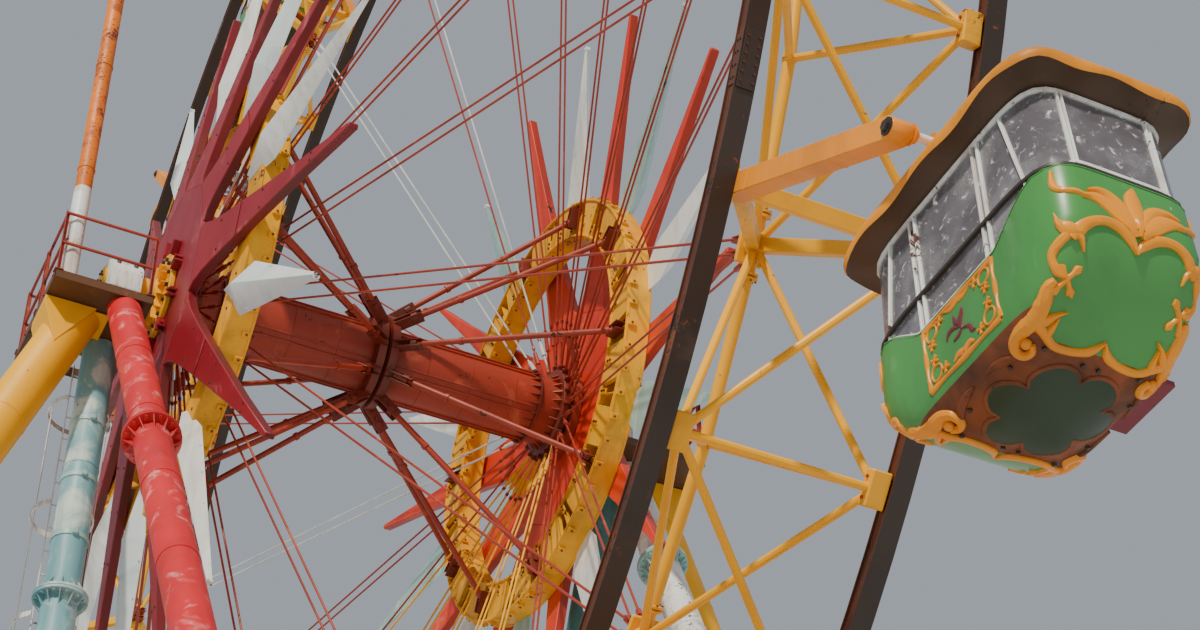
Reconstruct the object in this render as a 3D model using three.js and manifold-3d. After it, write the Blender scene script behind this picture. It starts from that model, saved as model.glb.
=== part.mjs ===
// A fairground ferris wheel on two towers, in millimetres, +Z up, ground at z = 0.
// The axle runs along Y over the origin, and the wheel turns in the XZ plane.
import * as THREE from "three";
import { mergeVertices } from "three/addons/utils/BufferGeometryUtils.js";
import Module from "manifold-3d";

const wasm = await Module();
wasm.setup();

// Driving dimensions
const HUB_HEIGHT = 22000; // axle centre above the ground
const RAIL_SPACING = 2200; // between the centres of the two outer rails
const STATIONS = 20; // one cabin at each
const FIRST_STATION = 3.74; // degrees from +X towards +Z
const SEAT_GAP = 0.3; // between pieces that touch

const RAIL_RADIUS = 12990;
const RAIL_WIDTH = 190;
const RAIL_DEPTH = 155;
const CHORD_RADIUS = 11413;
const CHORD_SIZE = 100;
const RIM_SECTORS = 5;
const JOINT_OFFSET = 0.35; // degrees from a middle frame to the bolted joint before it
const JOINT_GAP = 0.002;

const PIVOT_RADIUS = 15550; // cabin pins from the axle
const ARM_HEIGHT = 190;
const BOSS_RADIUS = 75;
const BOSS_INNER_Y = 770;
const BLOCK_INNER_Y = 815;
const BRACE_RADIUS = 44; // lattice tubes of the rim
const BEAM_WIDTH = 150; // box beams at the stations
const BEAM_DEPTH = 120;

const AXLE_RADIUS = 460;
const AXLE_HALF_LENGTH = 2760;
const AXLE_SIDES = 20;
const FLANGE_RADIUS = 640;
const SHAFT_RADIUS = 200;
const SHAFT_SIDES = 24;
const SHAFT_END = 3700;
const RUNNING_GAP = 0.5; // between a shaft and its bearing

const STAR_INNER_Y = AXLE_HALF_LENGTH + SEAT_GAP;
const STAR_THICKNESS = 120;
const STAR_ARMS = 10;
const STAR_NOTCH_RADIUS = 1560;
const STAR_TIP_RADIUS = 6250;
const STAR_TILT = 0.12; // the arms lean in towards the wheel's middle plane
const STAR_TILT_FROM = 1600;

const RING_INNER_RADIUS = 2420;
const RING_OUTER_RADIUS = 2930;
const RING_INNER_Y = 2270;
const RING_OUTER_Y = 2600;
const SPIKE_BASE_RADIUS = 2640;
const SPIKE_WIDE_RADIUS = 3520;
const SPIKE_TIP_RADIUS = 6050;
const SPIKE_HALF_WIDTH = 330;

const DECK_TOP = HUB_HEIGHT - 790;
const DECK_THICKNESS = 120;
const DECK_HALF_LENGTH = 880;
const DECK_INNER_Y = 3190;
const DECK_OUTER_Y = 4420;
const DECK_BOTTOM = DECK_TOP - DECK_THICKNESS;
const LEG_TOP = DECK_BOTTOM - SEAT_GAP;
const BASE_PLATE = 1400;
const BASE_PLATE_THICKNESS = 80;
const COLUMN_X = -200;
const COLUMN_Y = -3520;
const LEG_RADIUS = 210;
const LEG_SIDES = 10;
const FOOT_Y = 11550; // of the outriggers

// Cabin sizes are measured from its pivot pin
const CABIN_HALF_LENGTH = 1180;
const CABIN_HALF_WIDTH = 620;
const CABIN_WALL = 45;
const TUB_TOP = -1190;
const DOOR_TOP = -1450;
const TUB_BOTTOM = -2440;
const CABIN_FLOOR = -2100;
const PIN_RADIUS = 35;

const DEGREE = Math.PI / 180;
const PITCH = 360 / STATIONS;

const paint = (color, roughness, metalness = 0.2) =>
  new THREE.MeshStandardMaterial({ color, roughness, metalness });
const COLORS = {
  rail: 0x33261f,
  yellow: 0xf2ae08,
  arm: 0xf0a040,
  terracotta: 0xb8492c,
  crimson: 0xb8324a,
  orangeRed: 0xdd4a2c,
  white: 0xdde3df,
  teal: 0x7fb3b5,
  red: 0xdc3238,
  deck: 0x4a3426,
  salmon: 0xc25a44,
  green: 0x5fa564,
};

// Solids and placing

function solid(geometry) {
  const bare = geometry.index ? geometry.toNonIndexed() : geometry.clone();
  bare.deleteAttribute("normal");
  bare.deleteAttribute("uv");
  const merged = mergeVertices(bare, 1e-3);
  return new wasm.Manifold(
    new wasm.Mesh({
      numProp: 3,
      vertProperties: new Float32Array(merged.attributes.position.array),
      triVerts: new Uint32Array(merged.index.array),
    }),
  );
}

function fuse(solids) {
  return solids.reduce((whole, next) => whole.add(next));
}

function named(name, body, color, roughness = 0.55) {
  const { vertProperties, triVerts } = body.getMesh();
  const geometry = new THREE.BufferGeometry();
  geometry.setAttribute("position", new THREE.BufferAttribute(vertProperties, 3));
  geometry.setIndex(new THREE.BufferAttribute(triVerts, 1));
  geometry.computeVertexNormals();
  const mesh = new THREE.Mesh(geometry, paint(color, roughness));
  mesh.name = name;
  return mesh;
}

function block(x0, x1, y0, y1, z0, z1) {
  const geometry = new THREE.BoxGeometry(x1 - x0, y1 - y0, z1 - z0);
  return solid(geometry.translate((x0 + x1) / 2, (y0 + y1) / 2, (z0 + z1) / 2));
}

const stationAngle = (index) => (FIRST_STATION + index * PITCH) * DEGREE;
const radial = (angle) => new THREE.Vector3(Math.cos(angle), 0, Math.sin(angle));
const tangent = (angle) => new THREE.Vector3(-Math.sin(angle), 0, Math.cos(angle));
const ALONG_AXLE = new THREE.Vector3(0, 1, 0);

function wheelPoint(angle, radius, y, sideways = 0) {
  return radial(angle)
    .multiplyScalar(radius)
    .addScaledVector(tangent(angle), sideways)
    .add(new THREE.Vector3(0, y, HUB_HEIGHT));
}

function wheelMatrix(angle) {
  const matrix = new THREE.Matrix4();
  matrix.makeBasis(radial(angle), ALONG_AXLE, tangent(angle));
  return matrix.setPosition(0, 0, HUB_HEIGHT);
}

// A box whose sides run radially, along the axle and around the wheel.
function wheelBlock(angle, r0, r1, y0, y1, halfTangent) {
  const geometry = new THREE.BoxGeometry(r1 - r0, y1 - y0, 2 * halfTangent);
  geometry.translate((r0 + r1) / 2, (y0 + y1) / 2, 0);
  return solid(geometry.applyMatrix4(wheelMatrix(angle)));
}

// A straight bar from one point to another; its section's first side follows the hint.
function bar(from, to, section, hint) {
  const length = from.distanceTo(to);
  const shape = new THREE.Shape(section);
  const geometry = new THREE.ExtrudeGeometry(shape, { depth: length, bevelEnabled: false });
  const along = to.clone().sub(from).normalize();
  const side = hint.clone().addScaledVector(along, -hint.dot(along)).normalize();
  const third = along.clone().cross(side);
  const matrix = new THREE.Matrix4().makeBasis(side, third, along);
  return solid(geometry.applyMatrix4(matrix.setPosition(from)));
}

function polygon(radius, sides, turn = 0) {
  return Array.from({ length: sides }, (_, i) => {
    const angle = turn + (2 * Math.PI * i) / sides;
    return new THREE.Vector2(radius * Math.cos(angle), radius * Math.sin(angle));
  });
}

const rectangle = (width, depth) => [
  new THREE.Vector2(-width / 2, -depth / 2),
  new THREE.Vector2(width / 2, -depth / 2),
  new THREE.Vector2(width / 2, depth / 2),
  new THREE.Vector2(-width / 2, depth / 2),
];

// A tube of few sides between two points.
const tube = (from, to, radius, sides = 3, hint = ALONG_AXLE) =>
  bar(from, to, polygon(radius, sides, Math.PI / sides), hint);

// A ring about the axle from a closed profile of [radius, y] points.
function ring(profile, segments, firstAngle = FIRST_STATION) {
  const points = [...profile, profile[0]].map(([r, y]) => new THREE.Vector2(r, y));
  const start = (90 - firstAngle) * DEGREE;
  const geometry = new THREE.LatheGeometry(points, segments, start);
  return solid(geometry.translate(0, 0, HUB_HEIGHT));
}

const bandProfile = (r0, r1, y0, y1) => [
  [r1, y0],
  [r1, y1],
  [r0, y1],
  [r0, y0],
];

// A disc or drum on the axle line.
function drum(radius, y0, y1, sides, turn = 0) {
  const profile = [
    [0, y0],
    [radius, y0],
    [radius, y1],
    [0, y1],
  ].map(([r, y]) => new THREE.Vector2(r, y));
  const start = (90 - FIRST_STATION) * DEGREE + turn;
  const geometry = new THREE.LatheGeometry(profile, sides, start);
  return solid(geometry.translate(0, 0, HUB_HEIGHT));
}

// Rim

function rail(side) {
  const y0 = (side * RAIL_SPACING) / 2 - RAIL_WIDTH / 2;
  const inner = RAIL_RADIUS - RAIL_DEPTH / 2;
  const profile = bandProfile(inner, inner + RAIL_DEPTH, y0, y0 + RAIL_WIDTH);
  return ring(profile, 2 * STATIONS);
}

// The inner chord of one sector, from just before its first middle frame.
function chordLength(sector) {
  const half = CHORD_SIZE / 2;
  const profile = bandProfile(CHORD_RADIUS - half, CHORD_RADIUS + half, -half, half);
  const perSector = STATIONS / RIM_SECTORS;
  const joint = (index) => middleAngle(index) / DEGREE - JOINT_OFFSET;
  const from = joint(sector * perSector);
  const to = joint((sector + 1) * perSector) - JOINT_GAP;
  const reach = 2 * CHORD_RADIUS;
  const corner = (degrees) =>
    new THREE.Vector2(reach * Math.cos(degrees * DEGREE), reach * Math.sin(degrees * DEGREE));
  const wedge = new THREE.Shape([new THREE.Vector2(0, 0), corner(from), corner(to)]);
  const geometry = new THREE.ExtrudeGeometry(wedge, { depth: 4 * half, bevelEnabled: false });
  geometry.rotateX(Math.PI / 2).translate(0, 2 * half, HUB_HEIGHT);
  return ring(profile, 2 * STATIONS).intersect(solid(geometry));
}

const RAIL_INNER_Y = RAIL_SPACING / 2 - RAIL_WIDTH / 2 - SEAT_GAP;
const middleAngle = (index) => stationAngle(index) - (PITCH / 2) * DEGREE;
const nodeY = (side) => (side * (RAIL_INNER_Y + BLOCK_INNER_Y)) / 2;

function sideBlock(angle, side, r0, r1, yIn, yOut, halfTangent) {
  const ys = [side * yIn, side * yOut].sort((a, b) => a - b);
  return wheelBlock(angle, r0, r1, ys[0], ys[1], halfTangent);
}

// The yellow block by a rail between two stations.
function middleBlock(index, side, extra = 0) {
  return sideBlock(
    middleAngle(index),
    side,
    RAIL_RADIUS - 90 - extra,
    RAIL_RADIUS + 45 + extra,
    BLOCK_INNER_Y - extra,
    RAIL_INNER_Y,
    160 + extra,
  );
}

// The arm on a rail's inner side that carries one end of a cabin's pin.
function cabinArm(index, side) {
  const angle = stationAngle(index);
  const arm = sideBlock(
    angle,
    side,
    RAIL_RADIUS - 130,
    PIVOT_RADIUS + 70,
    BLOCK_INNER_Y,
    RAIL_INNER_Y,
    ARM_HEIGHT / 2,
  );
  const boss = tube(
    wheelPoint(angle, PIVOT_RADIUS, side * BOSS_INNER_Y),
    wheelPoint(angle, PIVOT_RADIUS, side * (BLOCK_INNER_Y + 40)),
    BOSS_RADIUS,
    4,
    radial(angle),
  );
  return [arm, boss];
}

// An A-shaped frame across the rim, from the chord out to both rails.
function crossFrame(angle, depth, top, thickness) {
  const slope = nodeY(1) / (RAIL_RADIUS - CHORD_RADIUS);
  const shift = (depth / 2) * Math.hypot(1, 1 / slope);
  const outerY = (radius) => (radius - CHORD_RADIUS + shift) * slope;
  const innerY = (radius) => (radius - CHORD_RADIUS - shift) * slope;
  const base = CHORD_RADIUS - 38;
  const shoulder = RAIL_RADIUS - 60;
  const low = top - depth * 0.83;
  const right = [
    new THREE.Vector2(base, outerY(base)),
    new THREE.Vector2(shoulder, outerY(shoulder)),
    new THREE.Vector2(top, outerY(shoulder)),
  ];
  const left = right.map((point) => new THREE.Vector2(point.x, -point.y)).reverse();
  const shape = new THREE.Shape([...right, ...left]);
  const hole = [
    new THREE.Vector2(CHORD_RADIUS + shift, 0),
    new THREE.Vector2(low, -innerY(low)),
    new THREE.Vector2(low, innerY(low)),
  ];
  shape.holes.push(new THREE.Path(hole));
  const geometry = new THREE.ExtrudeGeometry(shape, { depth: thickness, bevelEnabled: false });
  geometry.translate(0, 0, -thickness / 2);
  return solid(geometry.applyMatrix4(wheelMatrix(angle)));
}

function stationFrame(index) {
  const frame = crossFrame(stationAngle(index), BEAM_DEPTH, RAIL_RADIUS + 45, BEAM_WIDTH);
  return [frame, ...cabinArm(index, -1), ...cabinArm(index, 1)];
}

function middleFrame(index) {
  const frame = crossFrame(middleAngle(index), 80, RAIL_RADIUS + 30, 76);
  return [frame, middleBlock(index, -1), middleBlock(index, 1)];
}

// The diagonals from a station to the middle frame before or after it.
function diagonals(station, middle) {
  const stationAt = stationAngle(station);
  const middleAt = middleAngle(middle);
  const chordNode = wheelPoint(stationAt, CHORD_RADIUS, 0);
  const [leftEnd, rightEnd] = [-1, 1].map((side) =>
    wheelPoint(middleAt, RAIL_RADIUS, nodeY(side)),
  );
  return [tube(chordNode, leftEnd, BRACE_RADIUS), tube(chordNode, rightEnd, BRACE_RADIUS)];
}

// A bolted length of the rim's lattice: whole frames, and the diagonals up to the next length.
function rimSector(sector) {
  const perSector = STATIONS / RIM_SECTORS;
  const first = sector * perSector;
  const last = first + perSector;
  const pieces = [chordLength(sector)];
  for (let index = first; index < last; index += 1) {
    pieces.push(...middleFrame(index), ...stationFrame(index));
    pieces.push(...diagonals(index, index), ...diagonals(index, index + 1));
  }
  const nextBlocks = [-1, 1].map((side) => middleBlock(last, side, SEAT_GAP));
  return fuse(pieces).subtract(fuse(nextBlocks));
}

// Axle, rings, stars and rods

function axleTube() {
  const ends = [-1, 1].map((side) => {
    const ys = [side * (AXLE_HALF_LENGTH - 120), side * AXLE_HALF_LENGTH].sort((a, b) => a - b);
    return drum(FLANGE_RADIUS, ys[0], ys[1], AXLE_SIDES);
  });
  const between = AXLE_HALF_LENGTH - 10;
  return fuse([drum(AXLE_RADIUS, -between, between, AXLE_SIDES), ...ends]);
}

function axleShaft(side) {
  const start = STAR_INNER_Y + STAR_THICKNESS + SEAT_GAP;
  const [a, b] = [side * start, side * (start + 70)].sort((p, q) => p - q);
  const [c, d] = [side * (start + 10), side * SHAFT_END].sort((p, q) => p - q);
  return fuse([drum(590, a, b, 20), drum(SHAFT_RADIUS, c, d, SHAFT_SIDES)]);
}

// A flat star with fillets left plain, its arms tapering from hub to tip.
function redStar(side) {
  const outline = [];
  for (let arm = 0; arm < STAR_ARMS; arm += 1) {
    const angle = stationAngle(2 * arm + 1);
    const notch = angle + PITCH * DEGREE;
    const across = new THREE.Vector2(-Math.sin(angle), Math.cos(angle));
    const along = new THREE.Vector2(Math.cos(angle), Math.sin(angle));
    const at = (radius, offset) =>
      along.clone().multiplyScalar(radius).addScaledVector(across, offset);
    outline.push(at(3300, -215), at(STAR_TIP_RADIUS, -45), at(STAR_TIP_RADIUS, 45));
    outline.push(at(3300, 215));
    outline.push(
      new THREE.Vector2(
        STAR_NOTCH_RADIUS * Math.cos(notch),
        STAR_NOTCH_RADIUS * Math.sin(notch),
      ),
    );
  }
  const geometry = new THREE.ExtrudeGeometry(new THREE.Shape(outline), {
    depth: STAR_THICKNESS,
    bevelEnabled: false,
  });
  // The drawing plane's second axis becomes Z, and its thickness runs along the axle.
  geometry.rotateX(Math.PI / 2);
  geometry.translate(0, side > 0 ? STAR_INNER_Y + STAR_THICKNESS : -STAR_INNER_Y, 0);
  tiltInwards(geometry, side);
  return solid(geometry.translate(0, 0, HUB_HEIGHT));
}

function tiltInwards(geometry, side) {
  const places = geometry.attributes.position;
  for (let i = 0; i < places.count; i += 1) {
    const radius = Math.hypot(places.getX(i), places.getZ(i));
    const lean = STAR_TILT * Math.max(0, radius - STAR_TILT_FROM);
    places.setY(i, places.getY(i) - side * lean);
  }
}

// A folded white spike: a kite with a ridge on its outer side.
function whiteSpike(angle, side) {
  const outer = side * (RING_OUTER_Y - 12);
  const lean = (radius) => -side * STAR_TILT * (radius - SPIKE_BASE_RADIUS);
  const at = (radius, sideways, rise) =>
    wheelPoint(angle, radius, outer + lean(radius) + side * rise, sideways);
  const base = 70;
  const tip = 35;
  const rows = [
    [SPIKE_BASE_RADIUS, base, 90],
    [SPIKE_WIDE_RADIUS, SPIKE_HALF_WIDTH, 170],
    [SPIKE_TIP_RADIUS, tip, 60],
  ];
  const points = rows.flatMap(([radius, half, ridge]) => [
    at(radius, -half, 0),
    at(radius, 0, ridge),
    at(radius, half, 0),
  ]);
  const faces = [[0, 1, 2], [8, 7, 6]];
  for (const row of [0, 3]) {
    faces.push([row, row + 3, row + 4], [row, row + 4, row + 1]);
    faces.push([row + 1, row + 4, row + 5], [row + 1, row + 5, row + 2]);
    faces.push([row + 2, row + 5, row + 3], [row + 2, row + 3, row]);
  }
  const order = side < 0 ? (face) => face : (face) => [...face].reverse();
  const flat = faces.flatMap((face) => order(face).flatMap((i) => points[i].toArray()));
  const geometry = new THREE.BufferGeometry();
  geometry.setAttribute("position", new THREE.Float32BufferAttribute(flat, 3));
  return solid(geometry);
}

function spikedRing(side) {
  const [y0, y1] = [side * RING_INNER_Y, side * RING_OUTER_Y].sort((a, b) => a - b);
  const profile = bandProfile(RING_INNER_RADIUS, RING_OUTER_RADIUS, y0, y1);
  const band = ring(profile, STATIONS, FIRST_STATION + PITCH / 2);
  const spikes = [];
  for (let index = 0; index < STATIONS; index += 2) {
    spikes.push(whiteSpike(stationAngle(index), side));
  }
  return fuse([band, ...spikes]);
}

const COLLAR_BORE = AXLE_RADIUS + SEAT_GAP;

// Ten tubes from a collar at the middle of the axle out to lugs on a ring.
function ringBraces(side) {
  const sorted = (a, b) => [side * a, side * b].sort((p, q) => p - q);
  const [y0, y1] = sorted(12, 150);
  const pieces = [ring(bandProfile(COLLAR_BORE, 640, y0, y1), AXLE_SIDES)];
  for (let index = 1; index < STATIONS; index += 2) {
    const angle = stationAngle(index);
    const from = wheelPoint(angle, 590, side * 80);
    const to = wheelPoint(angle, 2790, side * 2400);
    pieces.push(tube(from, to, 62, 4, tangent(angle)));
  }
  const [y2, y3] = sorted(RING_INNER_Y - SEAT_GAP, 2900);
  return fuse(pieces).subtract(ring(bandProfile(1500, 3500, y2, y3), 8));
}

// Stay rods from a collar by the axle's end out to the chord, one of the pair at each station.
function stayRods(side) {
  const sorted = (a, b) => [side * a, side * b].sort((p, q) => p - q);
  const [y0, y1] = sorted(2500, 2600);
  const pieces = [ring(bandProfile(COLLAR_BORE, 600, y0, y1), AXLE_SIDES)];
  const chordFace = CHORD_RADIUS - CHORD_SIZE / 2 - SEAT_GAP;
  for (let index = 0; index < STATIONS; index += 1) {
    const angle = stationAngle(index);
    const from = wheelPoint(angle, 560, side * 2550, 95);
    const to = wheelPoint(angle, chordFace + 40, side * 26, 60);
    pieces.push(tube(from, to, 24, 3, tangent(angle)));
  }
  const room = ring(bandProfile(chordFace, CHORD_RADIUS + 300, -200, 200), 2 * STATIONS);
  return fuse(pieces).subtract(room);
}

// Cabins

// An eight-sided ring of points, a rectangle with its corners cut.
function cutRectangle(halfX, halfY, cut, z) {
  return [
    [halfX, halfY - cut],
    [halfX - cut, halfY],
    [cut - halfX, halfY],
    [-halfX, halfY - cut],
    [-halfX, cut - halfY],
    [cut - halfX, -halfY],
    [halfX - cut, -halfY],
    [halfX, cut - halfY],
  ].map(([x, y]) => new THREE.Vector3(x, y, z));
}

// A closed solid through rings of points, from the lowest to the highest.
function loft(rings) {
  const count = rings[0].length;
  const corners = [];
  rings.slice(1).forEach((upper, level) => {
    const lower = rings[level];
    for (let i = 0; i < count; i += 1) {
      const j = (i + 1) % count;
      corners.push(lower[i], lower[j], upper[j], lower[i], upper[j], upper[i]);
    }
  });
  const bottom = rings[0];
  const top = rings[rings.length - 1];
  for (let i = 1; i < count - 1; i += 1) {
    corners.push(bottom[0], bottom[i + 1], bottom[i], top[0], top[i], top[i + 1]);
  }
  const flat = corners.flatMap((point) => point.toArray());
  const geometry = new THREE.BufferGeometry();
  geometry.setAttribute("position", new THREE.Float32BufferAttribute(flat, 3));
  return solid(geometry);
}

function cabinTub() {
  const length = CABIN_HALF_LENGTH;
  const width = CABIN_HALF_WIDTH;
  const outer = loft([
    cutRectangle(500, 300, 140, TUB_BOTTOM),
    cutRectangle(length - 60, width, 190, -1960),
    cutRectangle(length - 20, width, 190, TUB_TOP),
  ]);
  const inner = loft([
    cutRectangle(880, 460, 150, CABIN_FLOOR),
    cutRectangle(length - 110, width - 50, 170, -1960),
    cutRectangle(length - 20 - CABIN_WALL, width - CABIN_WALL, 170, TUB_TOP + 50),
  ]);
  const doorCut = new THREE.ExtrudeGeometry(
    new THREE.Shape([
      new THREE.Vector2(-440, DOOR_TOP),
      new THREE.Vector2(440, DOOR_TOP),
      new THREE.Vector2(880, TUB_TOP + 50),
      new THREE.Vector2(-880, TUB_TOP + 50),
    ]),
    { depth: 2 * width + 100, bevelEnabled: false },
  );
  doorCut.rotateX(Math.PI / 2).translate(0, width + 50, 0);
  return outer.subtract(inner).subtract(solid(doorCut));
}

function cabinRoof() {
  return loft([
    cutRectangle(1240, 750, 260, -210),
    cutRectangle(820, 420, 200, 140),
  ]);
}

function cabin(index) {
  const posts = [];
  for (const y of [-1, 1]) {
    for (const x of [-1, 1]) {
      const side = y * (CABIN_HALF_WIDTH - 22);
      posts.push(block(x * 415 - 20, x * 415 + 20, side - 18, side + 18, DOOR_TOP - 30, -180));
    }
  }
  const pins = [-1, 1].map((side) =>
    tube(
      new THREE.Vector3(0, side * 480, 0),
      new THREE.Vector3(0, side * (BOSS_INNER_Y - SEAT_GAP), 0),
      PIN_RADIUS,
      4,
      new THREE.Vector3(1, 0, 0),
    ),
  );
  const whole = fuse([cabinTub(), cabinRoof(), ...posts, ...pins]);
  const colors = [COLORS.green, COLORS.red];
  const mesh = named(`cabin_${String(index + 1).padStart(2, "0")}`, whole, colors[index % 2]);
  mesh.position.copy(wheelPoint(stationAngle(index), PIVOT_RADIUS, 0));
  return mesh;
}

// Towers

// A tubular leg with its base plate on the ground and flanges down its length.
function leg(topX, topY, footX, footY, radius, firstFlange) {
  const top = new THREE.Vector3(topX, topY, LEG_TOP);
  const foot = new THREE.Vector3(footX, footY, 0);
  const along = foot.clone().sub(top).normalize();
  const above = top.clone().addScaledVector(along, -600);
  const below = foot.clone().addScaledVector(along, 600);
  const hint = new THREE.Vector3(1, 0, 0);
  const section = (r, sides) => polygon(r, sides, Math.PI / sides);
  const pieces = [bar(above, below, section(radius, LEG_SIDES), hint)];
  const length = foot.distanceTo(top);
  for (let at = firstFlange; at < length - 1500; at += 10000) {
    const middle = top.clone().addScaledVector(along, at);
    const start = middle.clone().addScaledVector(along, -35);
    const end = middle.clone().addScaledVector(along, 35);
    pieces.push(bar(start, end, section(radius + 110, LEG_SIDES), hint));
  }
  const half = BASE_PLATE / 2;
  const [x0, x1, y0, y1] = [footX - half, footX + half, footY - half, footY + half];
  pieces.push(block(x0, x1, y0, y1, 0, BASE_PLATE_THICKNESS));
  const reach = 30000;
  const room = block(-reach, reach, -reach, reach, 0, LEG_TOP);
  return fuse(pieces).intersect(room);
}

function deck(side) {
  const [y0, y1] = [side * DECK_INNER_Y, side * DECK_OUTER_Y].sort((a, b) => a - b);
  const slab = block(-DECK_HALF_LENGTH, DECK_HALF_LENGTH, y0, y1, DECK_BOTTOM, DECK_TOP);
  if (side > 0) return slab;
  return slab.subtract(block(-830, -450, -3900, -3280, DECK_BOTTOM - 50, DECK_TOP + 50));
}

function railing(side) {
  const size = 50;
  const near = side * (DECK_INNER_Y + 40);
  const far = side * (DECK_OUTER_Y - 40);
  const end = DECK_HALF_LENGTH - 40;
  const foot = DECK_TOP + SEAT_GAP;
  const height = 1000;
  const half = size / 2;
  const posts = [
    [-end, near],
    [-end, far],
    [0, far],
    [end, far],
    [end, near],
  ].map(([x, y]) => block(x - half, x + half, y - half, y + half, foot, foot + height));
  const [y0, y1] = [near, far].sort((a, b) => a - b);
  const rails = [460, 950].flatMap((rise) => {
    const [z0, z1] = [foot + rise, foot + rise + 40];
    return [
      block(-end, end, far - 15, far + 15, z0, z1),
      block(-end - 15, 15 - end, y0, y1, z0, z1),
      block(end - 15, end + 15, y0, y1, z0, z1),
    ];
  });
  return fuse([...posts, ...rails]);
}

// A pedestal bearing on a deck, bored for the shaft.
function bearing(side) {
  const [y0, y1] = [side * 3240, side * 3640].sort((a, b) => a - b);
  const foot = DECK_TOP + SEAT_GAP;
  const pedestal = block(-420, 420, y0 - 30, y1 + 30, foot, foot + 160);
  const housing = block(-330, 330, y0, y1, foot + 100, HUB_HEIGHT + 340);
  const halfSide = Math.PI / SHAFT_SIDES;
  const boreRadius = (SHAFT_RADIUS + RUNNING_GAP) / Math.cos(halfSide);
  const bore = drum(boreRadius, y0 - 60, y1 + 60, SHAFT_SIDES, halfSide);
  return fuse([pedestal, housing]).subtract(bore);
}

// The ladder behind the column.
function ladder() {
  const faceX = COLUMN_X - LEG_RADIUS * Math.cos(Math.PI / LEG_SIDES) - SEAT_GAP;
  const stringerX = faceX - 180;
  const bottom = 300;
  const top = DECK_BOTTOM - 60;
  const halfWidth = 210;
  const pieces = [-1, 1].map((side) => {
    const y = COLUMN_Y + side * halfWidth;
    return block(stringerX - 20, stringerX + 20, y - 15, y + 15, bottom, top);
  });
  const rungs = 10;
  for (let i = 0; i < rungs; i += 1) {
    const z = bottom + 150 + (i * (top - bottom - 300)) / (rungs - 1);
    const [z0, z1] = [z - 12, z + 12];
    const [y0, y1] = [COLUMN_Y - halfWidth, COLUMN_Y + halfWidth];
    pieces.push(block(stringerX - 12, stringerX + 12, y0, y1, z0, z1));
    if (i % 3 === 0) {
      pieces.push(block(stringerX, faceX, COLUMN_Y - 30, COLUMN_Y + 30, z0 - 8, z1 + 8));
    }
  }
  return fuse(pieces);
}

function lampPole() {
  const foot = DECK_TOP + SEAT_GAP;
  const base = new THREE.Vector3(690, -4230, foot);
  const top = base.clone().setZ(foot + 6200);
  const plate = block(575, 805, -4340, -4120, foot, foot + 25);
  return fuse([plate, tube(base, top, 105, 12, new THREE.Vector3(1, 0, 0))]);
}

// Assembly

const wheel = new THREE.Group();
wheel.add(named("left_rail", rail(-1), COLORS.rail));
wheel.add(named("right_rail", rail(1), COLORS.rail));
for (let sector = 0; sector < RIM_SECTORS; sector += 1) {
  wheel.add(named(`rim_lattice_${sector + 1}`, rimSector(sector), COLORS.yellow));
}
wheel.add(named("axle_tube", axleTube(), COLORS.terracotta));
for (const [label, side] of [
  ["left", -1],
  ["right", 1],
]) {
  const red = side < 0 ? COLORS.crimson : COLORS.orangeRed;
  wheel.add(named(`${label}_shaft`, axleShaft(side), COLORS.yellow));
  wheel.add(named(`${label}_star`, redStar(side), red));
  wheel.add(named(`${label}_ring`, spikedRing(side), COLORS.yellow));
  wheel.add(named(`${label}_braces`, ringBraces(side), COLORS.terracotta));
  wheel.add(named(`${label}_stay_rods`, stayRods(side), COLORS.terracotta));
}

const cabins = new THREE.Group();
for (let index = 0; index < STATIONS; index += 1) cabins.add(cabin(index));

const towers = new THREE.Group();
const LEGS = [
  // name, colour, top x and y, foot x and y, radius, first flange down from the top
  ["left_column", COLORS.teal, COLUMN_X, COLUMN_Y, COLUMN_X, COLUMN_Y, LEG_RADIUS, 3760],
  ["left_raking_leg", COLORS.red, 630, -3476, 13900, -3476, LEG_RADIUS, 4350],
  ["left_outrigger", COLORS.yellow, 220, -3960, 220, -FOOT_Y, 290, 7000],
  ["right_front_leg", COLORS.white, 330, 3520, 9400, 3520, LEG_RADIUS, 2300],
  ["right_back_leg", COLORS.teal, -330, 3520, -9400, 3520, LEG_RADIUS, 2300],
  ["right_outrigger", COLORS.yellow, 0, 3960, 0, FOOT_Y, 290, 7000],
];
for (const [name, color, ...sizes] of LEGS) towers.add(named(name, leg(...sizes), color));
for (const [label, side] of [
  ["left", -1],
  ["right", 1],
]) {
  towers.add(named(`${label}_deck`, deck(side), COLORS.deck));
  towers.add(named(`${label}_railing`, railing(side), COLORS.salmon));
  towers.add(named(`${label}_bearing`, bearing(side), COLORS.white));
}
towers.add(named("ladder", ladder(), COLORS.white));
towers.add(named("lamp_pole", lampPole(), COLORS.arm));

const ferrisWheel = new THREE.Group();
ferrisWheel.add(wheel, cabins, towers);

export default ferrisWheel;
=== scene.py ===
"""Looks of a fairground ferris wheel, made around its fixed frame.

Metres, +Z up. The axle runs along Y at HUB, and the wheel turns in the XZ plane.
Pieces of the wheel are drawn first round a hub at the origin, in places given as a radius,
a distance along the axle and a distance sideways, and are then turned and lifted into place.
"""
import math
import random

import bmesh
import bpy
from mathutils import Matrix, Vector
from mathutils.bvhtree import BVHTree


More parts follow.
